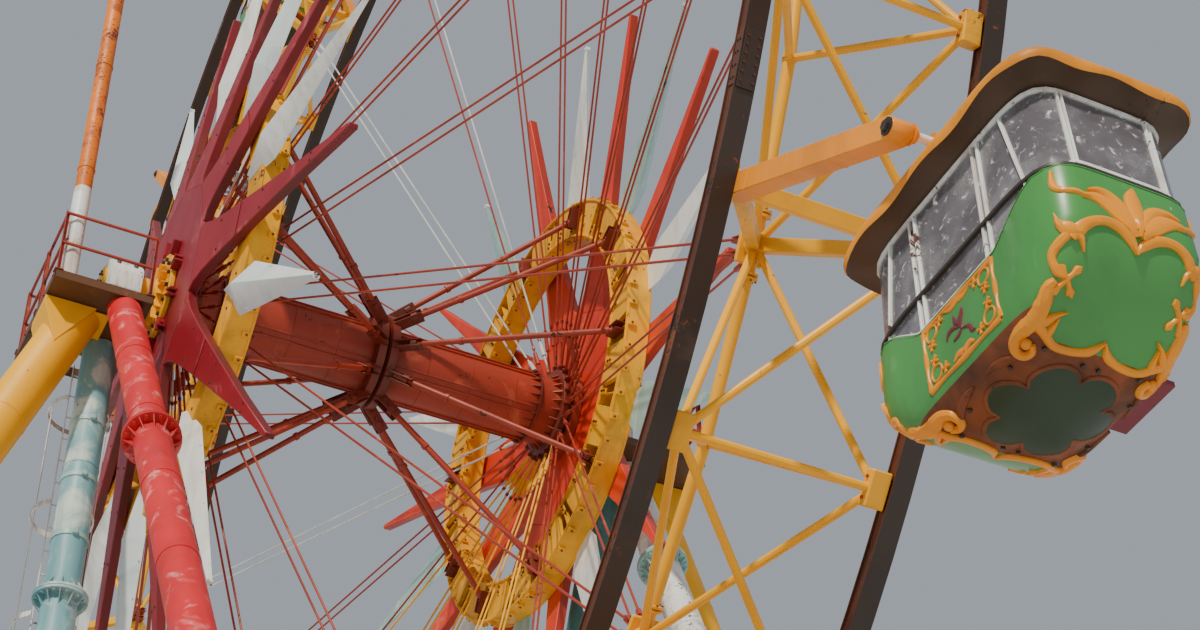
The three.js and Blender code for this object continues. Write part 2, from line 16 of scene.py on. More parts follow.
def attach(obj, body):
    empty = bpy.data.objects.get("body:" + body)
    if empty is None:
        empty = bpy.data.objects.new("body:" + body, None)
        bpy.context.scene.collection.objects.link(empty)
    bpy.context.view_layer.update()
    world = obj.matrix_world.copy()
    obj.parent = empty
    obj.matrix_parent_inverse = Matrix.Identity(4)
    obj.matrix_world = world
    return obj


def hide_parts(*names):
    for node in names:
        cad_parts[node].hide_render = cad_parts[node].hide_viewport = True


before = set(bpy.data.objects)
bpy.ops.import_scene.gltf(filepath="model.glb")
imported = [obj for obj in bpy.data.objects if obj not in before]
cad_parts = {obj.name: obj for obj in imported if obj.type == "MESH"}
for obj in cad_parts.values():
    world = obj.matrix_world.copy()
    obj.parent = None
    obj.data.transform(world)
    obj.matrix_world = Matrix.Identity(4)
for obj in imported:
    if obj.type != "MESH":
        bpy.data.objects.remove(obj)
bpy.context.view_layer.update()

bl_info = {
    "name": "Ferris Wheel Looks",
    "version": (1, 0, 0),
    "blender": (4, 5, 0),
    "location": "View3D > Sidebar > Ferris Wheel",
    "description": "Dresses the frame of a fairground ferris wheel",
    "category": "Object",
}

# Sizes that the frame fixes
HUB = Vector((0.0, 0.0, 22.0))
STATIONS = 20
FIRST_STATION = math.radians(3.74)
PITCH = 2 * math.pi / STATIONS
RIM_SECTORS = 5
RAIL_RADIUS = 12.99
RAIL_Y = 1.1
RAIL_WIDTH = 0.19
RAIL_DEPTH = 0.155
NODE_Y = 0.91
CHORD_RADIUS = 11.413
PIVOT_RADIUS = 15.55
AXLE_RADIUS = 0.46
AXLE_END = 2.76
SHAFT_RADIUS = 0.2
SHAFT_END = 3.7
RING_INNER = 2.42
RING_OUTER = 2.93
RING_Y0 = 2.27
RING_Y1 = 2.60
DECK_TOP = 21.21
DECK_BOTTOM = 21.09
TOWER_Y = 3.52
LEG_RADIUS = 0.21
OUTRIGGER_RADIUS = 0.29
SEAT_GAP = 0.0003  # left between a part and what it stands on
SIDES = (-1, 1)

# Whole turns and directions
TURN = 2 * math.pi
X_AXIS = Vector((1, 0, 0))
Y_AXIS = Vector((0, 1, 0))
Z_AXIS = Vector((0, 0, 1))
AS_DRAWN = Matrix.Identity(4)
STANDING = Matrix(((1, 0, 0, 0), (0, 0, 1, 0), (0, 1, 0, 0), (0, 0, 0, 1)))
SHARP_ANGLE = math.radians(35)


# Small tools for meshes

def place(radius, y, sideways=0.0, angle=0.0):
    """A point of the wheel round a hub at the origin; angles run from +X towards +Z."""
    c, s = math.cos(angle), math.sin(angle)
    return Vector((radius * c - sideways * s, y, radius * s + sideways * c))


def station_angle(index):
    return FIRST_STATION + index * PITCH


def turned(angle, centre=HUB):
    """Turns something drawn at angle zero round the hub and lifts it into place."""
    return Matrix.Translation(centre) @ Matrix.Rotation(-angle, 4, "Y")


def aimed(start, end, hint=Z_AXIS):
    """A matrix at the middle of start and end whose Z axis runs along them."""
    along = (end - start).normalized()
    side = hint - along * hint.dot(along)
    if side.length < 1e-6:
        side = along.orthogonal()
    side.normalize()
    third = along.cross(side)
    matrix = Matrix((side, third, along)).transposed().to_4x4()
    matrix.translation = (start + end) / 2
    return matrix


def paint_faces(verts, material):
    """Gives every face on these new corners a material slot."""
    for vert in verts:
        for face in vert.link_faces:
            face.material_index = material


def bevel_edges(bm, verts, width, segments=1):
    edges = list(dict.fromkeys(edge for vert in verts for edge in vert.link_edges))
    bmesh.ops.bevel(bm, geom=edges, offset=width, segments=segments, profile=0.5,
                    affect="EDGES", material=-1, clamp_overlap=True)


def add_box(bm, size, matrix=AS_DRAWN, material=0, bevel=0.0):
    shape = matrix @ Matrix.Diagonal((*size, 1.0))
    verts = bmesh.ops.create_cube(bm, size=1.0, matrix=shape)["verts"]
    paint_faces(verts, material)
    if bevel:
        bevel_edges(bm, verts, bevel)


def add_block(bm, low, high, material=0, bevel=0.0):
    low, high = Vector(low), Vector(high)
    add_box(bm, high - low, Matrix.Translation((low + high) / 2), material, bevel)


def add_beam(bm, start, end, width, depth, hint=Y_AXIS, material=0, bevel=0.0):
    """A straight bar; its width runs along the hint."""
    length = (end - start).length
    add_box(bm, (width, depth, length), aimed(start, end, hint), material, bevel)


def add_tube(bm, start, end, radius, sides=10, material=0, end_radius=None, hint=Y_AXIS):
    end_radius = radius if end_radius is None else end_radius
    verts = bmesh.ops.create_cone(bm, cap_ends=True, segments=sides, radius1=radius,
                                  radius2=end_radius, depth=(end - start).length,
                                  matrix=aimed(start, end, hint))["verts"]
    paint_faces(verts, material)


def add_bolt(bm, at, axis, radius=0.02, height=0.02, material=0):
    """A hexagonal head that stands on a face at `at`."""
    axis = Vector(axis).normalized()
    foot = Vector(at) - axis * height * 0.3
    add_tube(bm, foot, Vector(at) + axis * height, radius, 6, material, radius * 0.92,
             hint=axis.orthogonal())


def add_ball(bm, at, radius, material=0, sides=10):
    verts = bmesh.ops.create_uvsphere(bm, u_segments=sides, v_segments=max(4, sides // 2),
                                      radius=radius, matrix=Matrix.Translation(at))["verts"]
    paint_faces(verts, material)


def add_plate(bm, outline, thickness, matrix=AS_DRAWN, material=0, bevel=0.0):
    """A flat plate: an outline in the matrix's XY plane, thickened both ways."""
    verts = [bm.verts.new(matrix @ Vector((x, y, -thickness / 2))) for x, y in outline]
    face = bm.faces.new(verts)
    grown = bmesh.ops.extrude_face_region(bm, geom=[face], use_keep_orig=True)
    verts += [item for item in grown["geom"] if isinstance(item, bmesh.types.BMVert)]
    rise = (matrix.to_3x3() @ Z_AXIS) * thickness
    bmesh.ops.translate(bm, vec=rise, verts=verts[len(outline):])
    faces = list(dict.fromkeys(face for vert in verts for face in vert.link_faces))
    bmesh.ops.recalc_face_normals(bm, faces=faces)
    paint_faces(verts, material)
    if bevel:
        bevel_edges(bm, verts, bevel)


def join(bm, part, matrix=None):
    """Adds a finished part, which is used up."""
    mesh = as_template(part)
    if matrix is not None:
        mesh.transform(matrix)
    bm.from_mesh(mesh)
    bpy.data.meshes.remove(mesh)


def add_band(bm, profile, steps=120, material=0):
    """A ring about the axle: a closed profile of (radius, y) spun all the way round."""
    part = bmesh.new()
    verts = [part.verts.new((radius, y, 0)) for radius, y in profile]
    edges = [part.edges.new((a, b)) for a, b in zip(verts, verts[1:] + verts[:1])]
    bmesh.ops.spin(part, geom=verts + edges, cent=(0, 0, 0), axis=(0, -1, 0), dvec=(0, 0, 0),
                   angle=TURN, steps=steps, use_merge=True, use_duplicate=False)
    bmesh.ops.recalc_face_normals(part, faces=part.faces)
    paint_faces(part.verts, material)
    join(bm, part)


def repeat(bm, count):
    """Copies everything in the mesh to `count` even places round the axle."""
    geometry = bm.verts[:] + bm.edges[:] + bm.faces[:]
    bmesh.ops.spin(bm, geom=geometry, cent=(0, 0, 0), axis=(0, -1, 0), dvec=(0, 0, 0),
                   angle=TURN * (count - 1) / count, steps=count - 1, use_duplicate=True)


def as_template(bm):
    mesh = bpy.data.meshes.new("template")
    bm.to_mesh(mesh)
    bm.free()
    return mesh


def add_copies(bm, template, matrices):
    """Adds a finished template mesh once for each matrix."""
    for matrix in matrices:
        template.transform(matrix)
        bm.from_mesh(template)
        template.transform(matrix.inverted())


def finish_piece(name, bm, materials, body, replaced):
    """Turns a mesh into a piece that rides on a body and stands for its CAD nodes."""
    mesh = bpy.data.meshes.new(name)
    bm.to_mesh(mesh)
    bm.free()
    for material in materials:
        mesh.materials.append(material)
    mesh.shade_smooth()
    mesh.set_sharp_from_angle(angle=SHARP_ANGLE)
    piece = bpy.data.objects.new(name, mesh)
    bpy.context.scene.collection.objects.link(piece)
    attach(piece, body)
    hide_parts(*replaced)


# Finishes

def srgb(red, green, blue):
    """A colour given from 0 to 255, as linear light."""
    def linear(value):
        value /= 255
        return value / 12.92 if value <= 0.04045 else ((value + 0.055) / 1.055) ** 2.4
    return (linear(red), linear(green), linear(blue))


def solid_color(color):
    return (*color, 1.0)


def link(tree, source, target):
    tree.links.new(source, target)


def noise_mask(tree, vector, scale, detail=5.0, distortion=0.0, rough=0.6):
    node = tree.nodes.new("ShaderNodeTexNoise")
    node.inputs["Detail"].default_value = detail
    node.inputs["Roughness"].default_value = rough
    node.inputs["Distortion"].default_value = distortion
    if isinstance(scale, (int, float)):
        node.inputs["Scale"].default_value = scale
    else:
        link(tree, scale, node.inputs["Scale"])
    link(tree, vector, node.inputs["Vector"])
    return node.outputs["Fac"]


def soft_step(tree, value, low, high):
    """0 below low, 1 above high."""
    node = tree.nodes.new("ShaderNodeMapRange")
    node.interpolation_type = "SMOOTHSTEP"
    for title, bound in (("From Min", low), ("From Max", high)):
        if isinstance(bound, (int, float)):
            node.inputs[title].default_value = bound
        else:
            link(tree, bound, node.inputs[title])
    link(tree, value, node.inputs["Value"])
    return node.outputs["Result"]


def arithmetic(tree, operation, first, second):
    node = tree.nodes.new("ShaderNodeMath")
    node.operation = operation
    for socket, value in zip(node.inputs, (first, second)):
        if isinstance(value, (int, float)):
            socket.default_value = value
        else:
            link(tree, value, socket)
    return node.outputs[0]


def mixed(tree, factor, first, second):
    """A colour between two, each a colour or a socket."""
    node = tree.nodes.new("ShaderNodeMix")
    node.data_type = "RGBA"
    for socket, value in ((node.inputs[6], first), (node.inputs[7], second)):
        if isinstance(value, tuple):
            socket.default_value = solid_color(value)
        else:
            link(tree, value, socket)
    link(tree, factor, node.inputs[0])
    return node.outputs[2]


def new_group(name, inputs, outputs):
    group = bpy.data.node_groups.new(name, "ShaderNodeTree")
    for title, kind in inputs:
        group.interface.new_socket(title, in_out="INPUT", socket_type=kind)
    for title, kind in outputs:
        group.interface.new_socket(title, in_out="OUTPUT", socket_type=kind)
    entry = group.nodes.new("NodeGroupInput").outputs
    leave = group.nodes.new("NodeGroupOutput").inputs
    return group, entry, leave


COLOR, NUMBER, VECTOR = "NodeSocketColor", "NodeSocketFloat", "NodeSocketVector"


def faded_paint_group():
    """Paint that has faded in clouds, with a slight change of shade all over."""
    group, entry, leave = new_group(
        "Faded paint",
        [("Place", VECTOR), ("Paint", COLOR), ("Faded", COLOR), ("Amount", NUMBER),
         ("Scale", NUMBER)],
        [("Color", COLOR), ("Mask", NUMBER)])
    clouds = noise_mask(group, entry["Place"], entry["Scale"], 8.0, 0.6)
    low = arithmetic(group, "SUBTRACT", 0.72, arithmetic(group, "MULTIPLY", entry["Amount"], 0.4))
    mask = soft_step(group, clouds, low, arithmetic(group, "ADD", low, 0.16))
    color = mixed(group, mask, entry["Paint"], entry["Faded"])
    shade = noise_mask(group, entry["Place"],
                       arithmetic(group, "MULTIPLY", entry["Scale"], 0.35), 2.0)
    tone = group.nodes.new("ShaderNodeHueSaturation")
    link(group, color, tone.inputs["Color"])
    link(group, arithmetic(group, "ADD", arithmetic(group, "MULTIPLY", shade, 0.5), 0.75),
         tone.inputs["Value"])
    link(group, tone.outputs["Color"], leave["Color"])
    link(group, mask, leave["Mask"])
    return group


def chipped_group():
    """Chips in the paint with rust or bare ground in them, gathered in patches."""
    group, entry, leave = new_group(
        "Chips and rust",
        [("Place", VECTOR), ("Color", COLOR), ("Rust", COLOR), ("Amount", NUMBER),
         ("Scale", NUMBER)],
        [("Color", COLOR), ("Mask", NUMBER), ("Height", NUMBER)])
    flakes = noise_mask(group, entry["Place"], entry["Scale"], 9.0, 1.2, 0.68)
    patches = noise_mask(group, entry["Place"],
                         arithmetic(group, "MULTIPLY", entry["Scale"], 0.16), 3.0)
    both = arithmetic(group, "ADD", arithmetic(group, "MULTIPLY", flakes, 0.62),
                      arithmetic(group, "MULTIPLY", patches, 0.38))
    low = arithmetic(group, "SUBTRACT", 0.68, arithmetic(group, "MULTIPLY", entry["Amount"], 0.3))
    mask = soft_step(group, both, low, arithmetic(group, "ADD", low, 0.025))
    link(group, mixed(group, mask, entry["Color"], entry["Rust"]), leave["Color"])
    link(group, mask, leave["Mask"])
    link(group, arithmetic(group, "SUBTRACT", 1.0, mask), leave["Height"])
    return group


def grime_group():
    """Soft dirt in blotches and runs; Stretch draws it out along Z."""
    group, entry, leave = new_group(
        "Grime and runs",
        [("Place", VECTOR), ("Color", COLOR), ("Dirt", COLOR), ("Amount", NUMBER),
         ("Stretch", VECTOR)],
        [("Color", COLOR), ("Mask", NUMBER)])
    drawn = group.nodes.new("ShaderNodeVectorMath")
    drawn.operation = "MULTIPLY"
    link(group, entry["Place"], drawn.inputs[0])
    link(group, entry["Stretch"], drawn.inputs[1])
    blotches = noise_mask(group, drawn.outputs[0], 1.0, 6.0, 0.3)
    mask = arithmetic(group, "MULTIPLY", soft_step(group, blotches, 0.42, 0.72), entry["Amount"])
    link(group, mixed(group, mask, entry["Color"], entry["Dirt"]), leave["Color"])
    link(group, mask, leave["Mask"])
    return group


def shared_group(name, build):
    return bpy.data.node_groups.get(name) or build()


def use_group(tree, name, build, **values):
    node = tree.nodes.new("ShaderNodeGroup")
    node.node_tree = shared_group(name, build)
    for title, value in values.items():
        socket = node.inputs[title]
        if isinstance(value, (int, float)):
            socket.default_value = value
        elif isinstance(value, tuple):
            socket.default_value = solid_color(value) if socket.type == "RGBA" else value
        else:
            link(tree, value, socket)
    return node.outputs


def new_material(name):
    """An empty material, its tree, its shader and the place on the piece."""
    material = bpy.data.materials.new(name)
    material.use_nodes = True
    tree = material.node_tree
    shader = tree.nodes["Principled BSDF"]
    place_node = tree.nodes.new("ShaderNodeTexCoord")
    return material, tree, shader, place_node.outputs["Object"]


def raise_bumps(tree, shader, height, distance=0.004, strength=0.5):
    bump = tree.nodes.new("ShaderNodeBump")
    bump.inputs["Distance"].default_value = distance
    bump.inputs["Strength"].default_value = strength
    link(tree, height, bump.inputs["Height"])
    link(tree, bump.outputs["Normal"], shader.inputs["Normal"])


def paint_finish(name, paint, faded, rust, fade=0.3, chips=0.25, grime=0.35, scale=1.0,
                 dirt=srgb(60, 48, 38), stretch=(1.3, 1.3, 0.5), gloss=0.45):
    """Outdoor paint on steel: faded clouds, chips with rust, grime in runs, brush bumps."""
    found = bpy.data.materials.get(name)
    if found:
        return found
    material, tree, shader, spot = new_material(name)
    base = use_group(tree, "Faded paint", faded_paint_group, Place=spot, Paint=paint,
                     Faded=faded, Amount=fade, Scale=1.7 * scale)
    dirty = use_group(tree, "Grime and runs", grime_group, Place=spot, Color=base["Color"],
                      Dirt=dirt, Amount=grime, Stretch=stretch)
    worn = use_group(tree, "Chips and rust", chipped_group, Place=spot, Color=dirty["Color"],
                     Rust=rust, Amount=chips, Scale=9.0 * scale)
    link(tree, worn["Color"], shader.inputs["Base Color"])
    rough = arithmetic(tree, "ADD", arithmetic(tree, "MULTIPLY", worn["Mask"], 0.35),
                       arithmetic(tree, "MULTIPLY", base["Mask"], 0.15))
    rough = arithmetic(tree, "ADD", rough, gloss)
    link(tree, arithmetic(tree, "ADD", rough, arithmetic(tree, "MULTIPLY", dirty["Mask"], 0.2)),
         shader.inputs["Roughness"])
    brush = noise_mask(tree, spot, 60.0, 3.0)
    height = arithmetic(tree, "ADD", worn["Height"], arithmetic(tree, "MULTIPLY", brush, 0.25))
    raise_bumps(tree, shader, height, 0.003)
    return material


def hazy_glass():
    """Scratched and dusty plastic glazing."""
    name = "Hazy cabin glass"
    found = bpy.data.materials.get(name)
    if found:
        return found
    material, tree, shader, spot = new_material(name)
    haze = soft_step(tree, noise_mask(tree, spot, 2.2, 6.0, 0.2), 0.40, 0.80)
    scratches = soft_step(tree, noise_mask(tree, spot, 12.0, 5.0, 0.8, 0.7), 0.56, 0.70)
    tint = mixed(tree, haze, srgb(116, 112, 118), srgb(162, 162, 166))
    link(tree, mixed(tree, scratches, tint, srgb(232, 234, 236)), shader.inputs["Base Color"])
    cover = arithmetic(tree, "ADD", arithmetic(tree, "MULTIPLY", haze, 0.18),
                       arithmetic(tree, "MULTIPLY", scratches, 0.32))
    cover = arithmetic(tree, "ADD", cover, 0.48)
    link(tree, cover, shader.inputs["Alpha"])
    rough = arithmetic(tree, "ADD", arithmetic(tree, "MULTIPLY", haze, 0.35), 0.08)
    link(tree, rough, shader.inputs["Roughness"])
    raise_bumps(tree, shader, haze, 0.002, 0.15)
    return material


RUST = srgb(92, 44, 24)
DARK_RUST = srgb(48, 30, 22)
PRIMER = srgb(196, 190, 178)


def color_property(title, color, words):
    return bpy.props.FloatVectorProperty(name=title, description=words, default=color,
                                         subtype="COLOR", size=3, min=0.0, max=1.0)


class WheelPaints(bpy.types.PropertyGroup):
    yellow: color_property("Yellow", srgb(244, 176, 0), "Lattice, rings and outriggers")
    orange: color_property("Orange", srgb(236, 144, 20), "Cabin arms")
    terracotta: color_property("Terracotta", srgb(160, 54, 30), "Axle tube, braces and rods")
    crimson: color_property("Crimson", srgb(144, 12, 30), "The near star")
    orange_red: color_property("Orange red", srgb(222, 56, 26), "The far star")
    white: color_property("White", srgb(226, 231, 226), "Spikes, window frames and a leg")
    pale_teal: color_property("Pale teal", srgb(150, 188, 184), "Flanges and the far spikes")
    # The far leg's teal paint, darkened as painted shade
    shaded_teal: color_property("Teal in painted shade", srgb(62, 128, 132), "The far leg")
    red: color_property("Red", srgb(208, 24, 34), "The raking leg")
    rail: color_property("Rail", srgb(50, 38, 31), "The outer rails of the rim")
    salmon: color_property("Salmon", srgb(164, 58, 38), "The deck railings")
    cabin_green: color_property("Cabin green", srgb(70, 146, 70), "Every other cabin")
    cabin_red: color_property("Cabin red", srgb(206, 58, 44), "The cabins between them")
    ornament: color_property("Ornament", srgb(236, 148, 0), "Raised scrolls of the cabins")


def length_property(title, value, words):
    return bpy.props.FloatProperty(name=title, description=words, default=value, min=0.0,
                                   unit="LENGTH")


class WheelSizes(bpy.types.PropertyGroup):
    chord_tube: length_property("Chord tube", 0.058, "Radius of the rim's inner chord")
    brace_tube: length_property("Brace tube", 0.038, "Radius of the rim's diagonals")
    rod: length_property("Stay rod", 0.014, "Radius of a stay rod")
    ring_brace: length_property("Ring brace", 0.038, "Radius of the braces inside the ring")
    sheet: length_property("Cabin sheet", 0.022, "Thickness of the cabin's sheet metal")
    relief: length_property("Ornament relief", 0.022, "How far the cabin's scrolls stand out")
    frame_bar: length_property("Window bar", 0.036, "Width of the cabin's window bars")


def paints():
    return bpy.context.scene.wheel_paints


def sizes():
    return bpy.context.scene.wheel_sizes


def dark(color, share):
    """A colour with a share of its light taken away."""
    return tuple(channel * (1 - share) for channel in color)


def painted(kind):
    """The finish that a piece asks for by name."""
    p = paints()
    finishes = {
        "yellow": ("Chipped yellow", tuple(p.yellow), srgb(232, 172, 0), DARK_RUST,
                   dict(fade=0.25, chips=0.14, grime=0.22, dirt=srgb(150, 92, 10))),
        "worn_yellow": ("Worn yellow", tuple(p.yellow), srgb(208, 150, 2), RUST,
                        dict(fade=0.4, chips=0.28, grime=0.5, dirt=srgb(120, 66, 10))),
        "orange": ("Sunned orange", tuple(p.orange), srgb(226, 150, 60), DARK_RUST,
                   dict(fade=0.3, chips=0.12, grime=0.30, dirt=srgb(120, 64, 30))),
        "pole_orange": ("Rusty orange", srgb(236, 124, 0), srgb(176, 78, 12), RUST,
                        dict(fade=0.56, chips=0.42, grime=0.5, dirt=srgb(112, 48, 10), scale=1.8)),
        "near_white": ("Cool white", srgb(214, 226, 226), srgb(188, 204, 204), RUST,
                       dict(fade=0.35, chips=0.06, grime=0.22, dirt=srgb(140, 132, 112))),
        "terracotta": ("Terracotta", tuple(p.terracotta), srgb(196, 96, 62), DARK_RUST,
                       dict(fade=0.35, chips=0.22, grime=0.4, dirt=srgb(84, 34, 22))),
        "dark_terracotta": ("Dark terracotta", dark(tuple(p.terracotta), 0.45),
                            srgb(130, 62, 44), DARK_RUST, dict(chips=0.3, grime=0.5)),
        "crimson": ("Faded crimson", tuple(p.crimson), srgb(188, 84, 88), DARK_RUST,
                    dict(fade=0.40, chips=0.12, grime=0.3, dirt=srgb(104, 12, 26), scale=1.3)),
        # The stars' returned edges: darker copies of their paint with more grime, as painted shade
        "shaded_crimson": ("Crimson returns in painted shade", dark(tuple(p.crimson), 0.4), srgb(150, 52, 62),
                         DARK_RUST, dict(chips=0.25, grime=0.5)),
        "orange_red": ("Faded orange red", tuple(p.orange_red), srgb(232, 128, 96), DARK_RUST,
                       dict(fade=0.34, chips=0.16, grime=0.3, dirt=srgb(128, 36, 24))),
        "shaded_orange_red": ("Orange red returns in painted shade", dark(tuple(p.orange_red), 0.4),
                            srgb(176, 70, 50), DARK_RUST, dict(chips=0.25, grime=0.5)),
        "white": ("Dirty white", tuple(p.white), srgb(204, 204, 194), RUST,
                  dict(fade=0.35, chips=0.10, grime=0.30, dirt=srgb(140, 124, 100),
                       stretch=(5.0, 5.0, 0.8))),
        "rusty_white": ("Rusty white", tuple(p.white), srgb(196, 186, 170), RUST,
                        dict(fade=0.4, chips=0.34, grime=0.55, dirt=srgb(150, 86, 52),
                             stretch=(6.0, 6.0, 0.9))),
        "pale_teal": ("Pale teal", tuple(p.pale_teal), srgb(196, 214, 208), RUST,
                      dict(fade=0.4, chips=0.12, grime=0.3, dirt=srgb(112, 120, 104),
                           stretch=(5.0, 5.0, 0.7))),
        "column_teal": ("Column teal", srgb(118, 170, 178), srgb(198, 214, 206), RUST,
                        dict(fade=0.62, chips=0.14, grime=0.4, dirt=srgb(52, 108, 122),
                             stretch=(6.0, 6.0, 0.5))),
        # Teal paint of the far leg, made darker as painted shade
        "shaded_teal": ("Teal in painted shade", tuple(p.shaded_teal), srgb(98, 158, 156), RUST,
                      dict(fade=0.35, chips=0.2, grime=0.35)),
        "red": ("Patchy red", tuple(p.red), srgb(226, 128, 124), RUST,
                dict(fade=0.5, chips=0.08, grime=0.35, dirt=srgb(120, 12, 20), scale=2.2)),
        "salmon": ("Salmon", tuple(p.salmon), srgb(184, 100, 78), DARK_RUST,
                   dict(fade=0.35, chips=0.3, grime=0.35)),
        "rail": ("Rail black", tuple(p.rail), srgb(70, 52, 42), srgb(124, 58, 30),
                 dict(fade=0.3, chips=0.18, grime=0.4, dirt=srgb(34, 26, 22), gloss=0.4)),
        "rail_brown": ("Rail brown", srgb(88, 46, 24), srgb(120, 66, 38), DARK_RUST,
                       dict(fade=0.4, chips=0.35, grime=0.55, dirt=srgb(44, 26, 18))),
        "deck": ("Deck brown", srgb(92, 58, 30), srgb(124, 86, 48), srgb(128, 62, 34),
                 dict(fade=0.4, chips=0.3, grime=0.5)),
        "dark_steel": ("Dark steel", srgb(46, 38, 34), srgb(76, 62, 54), RUST,
                       dict(fade=0.3, chips=0.3, grime=0.4)),
        "pale_rod": ("Pale rods", srgb(206, 208, 202), srgb(170, 168, 160), RUST,
                     dict(fade=0.4, chips=0.2, grime=0.3)),
    }
    name, paint, faded, rust, wear = finishes[kind]
    return paint_finish(name, paint, faded, rust, **wear)


def coats(*kinds):
    """The finishes of a piece, in the order of its material numbers."""
    return [painted(kind) for kind in kinds]


# The rim

def rail_piece(side):
    """A rail as a lipped box girder, with bolted cover plates at its joints."""
    bm = bmesh.new()
    low, high = RAIL_RADIUS - RAIL_DEPTH / 2, RAIL_RADIUS + RAIL_DEPTH / 2
    flange, recess, half = 0.016, 0.014, RAIL_WIDTH / 2
    y = side * RAIL_Y
    right = [(low, half), (low + flange, half), (low + flange, half - recess),
             (high - flange, half - recess), (high - flange, half), (high, half)]
    left = [(radius, -across) for radius, across in reversed(right)]
    add_band(bm, [(radius, y + across) for radius, across in right + left], 160)
    for face in bm.faces:
        middle = face.calc_center_median()
        radius = math.hypot(middle.x, middle.z)
        if low + 0.004 < radius < high - 0.004:
            face.material_index = 1
    cover = bmesh.new()
    cover_y = RAIL_WIDTH - 0.03
    add_box(cover, (0.012, cover_y, 0.52), Matrix.Translation((high + 0.004, y, 0)), 0, 0.003)
    for along in (-0.2, -0.12, -0.04, 0.04, 0.12, 0.2):
        for across in (-0.055, 0.055):
            add_bolt(cover, (high + 0.01, y + across, along), X_AXIS, 0.013, 0.012, 1)
    for face_side in SIDES:
        at = (RAIL_RADIUS, y + face_side * (half - 0.008), 0)
        add_box(cover, (0.1, 0.012, 0.46), Matrix.Translation(at), 1, 0.003)
        for along in (-0.17, -0.06, 0.06, 0.17):
            for across in (-0.025, 0.025):
                spot = (RAIL_RADIUS + across, y + face_side * (half - 0.003), along)
                add_bolt(cover, spot, Y_AXIS * face_side, 0.011, 0.010, 0)
    template = as_template(cover)
    quarter = PITCH / 4
    add_copies(bm, template, [turned(quarter + 2 * k * PITCH, Vector())
                              for k in range(STATIONS // 2)])
    bm.transform(turned(FIRST_STATION))
    return bm


YELLOW, ARM, WORN, LUG, BOLT = range(5)  # finishes of the rim lattice


def middle_node(bm, angle):
    """The frame between two stations: round tubes and the blocks on the rails."""
    brace = sizes().brace_tube
    chord = place(CHORD_RADIUS, 0, 0, angle)
    ends = [place(RAIL_RADIUS - 0.01, side * NODE_Y, 0, angle) for side in SIDES]
    turn = turned(angle, Vector())
    for side, end in zip(SIDES, ends):
        add_tube(bm, chord, end, brace)
        add_box(bm, (0.135, 0.184, 0.32),
                turn @ Matrix.Translation((RAIL_RADIUS - 0.0225, side * NODE_Y, 0)), WORN, 0.012)
        for along in (-0.12, 0.12):
            spot = turn @ Vector((RAIL_RADIUS - 0.09, side * NODE_Y, along))
            add_bolt(bm, spot, -(turn.to_3x3() @ X_AXIS), 0.017, 0.02, LUG)
        for along in (-0.09, 0.09):
            spot = turn @ Vector((RAIL_RADIUS - 0.03, side * (NODE_Y - 0.092), along))
            add_bolt(bm, spot, -Y_AXIS * side, 0.017, 0.016, LUG)
    add_tube(bm, *ends, brace)
    add_ball(bm, chord, 0.075, WORN, 12)


ARM_WIDTH = 0.188


def arm_outline():
    """The arm's side view from the rail to the cabin's pin, with its corners cut."""
    half, root, tip = 0.095, RAIL_RADIUS - 0.13, PIVOT_RADIUS + 0.07
    return [(root, -half), (tip - 0.10, -half), (tip, -half + 0.055), (tip, half - 0.055),
            (tip - 0.10, half), (root, half)]


WHEEL_FLAT = Matrix(((1, 0, 0, 0), (0, 0, -1, 0), (0, 1, 0, 0), (0, 0, 0, 1)))


def flat_at(y):
    """A drawing plane of (radius, sideways) that stands across the axle at y."""
    return Matrix.Translation((0, y, 0)) @ WHEEL_FLAT


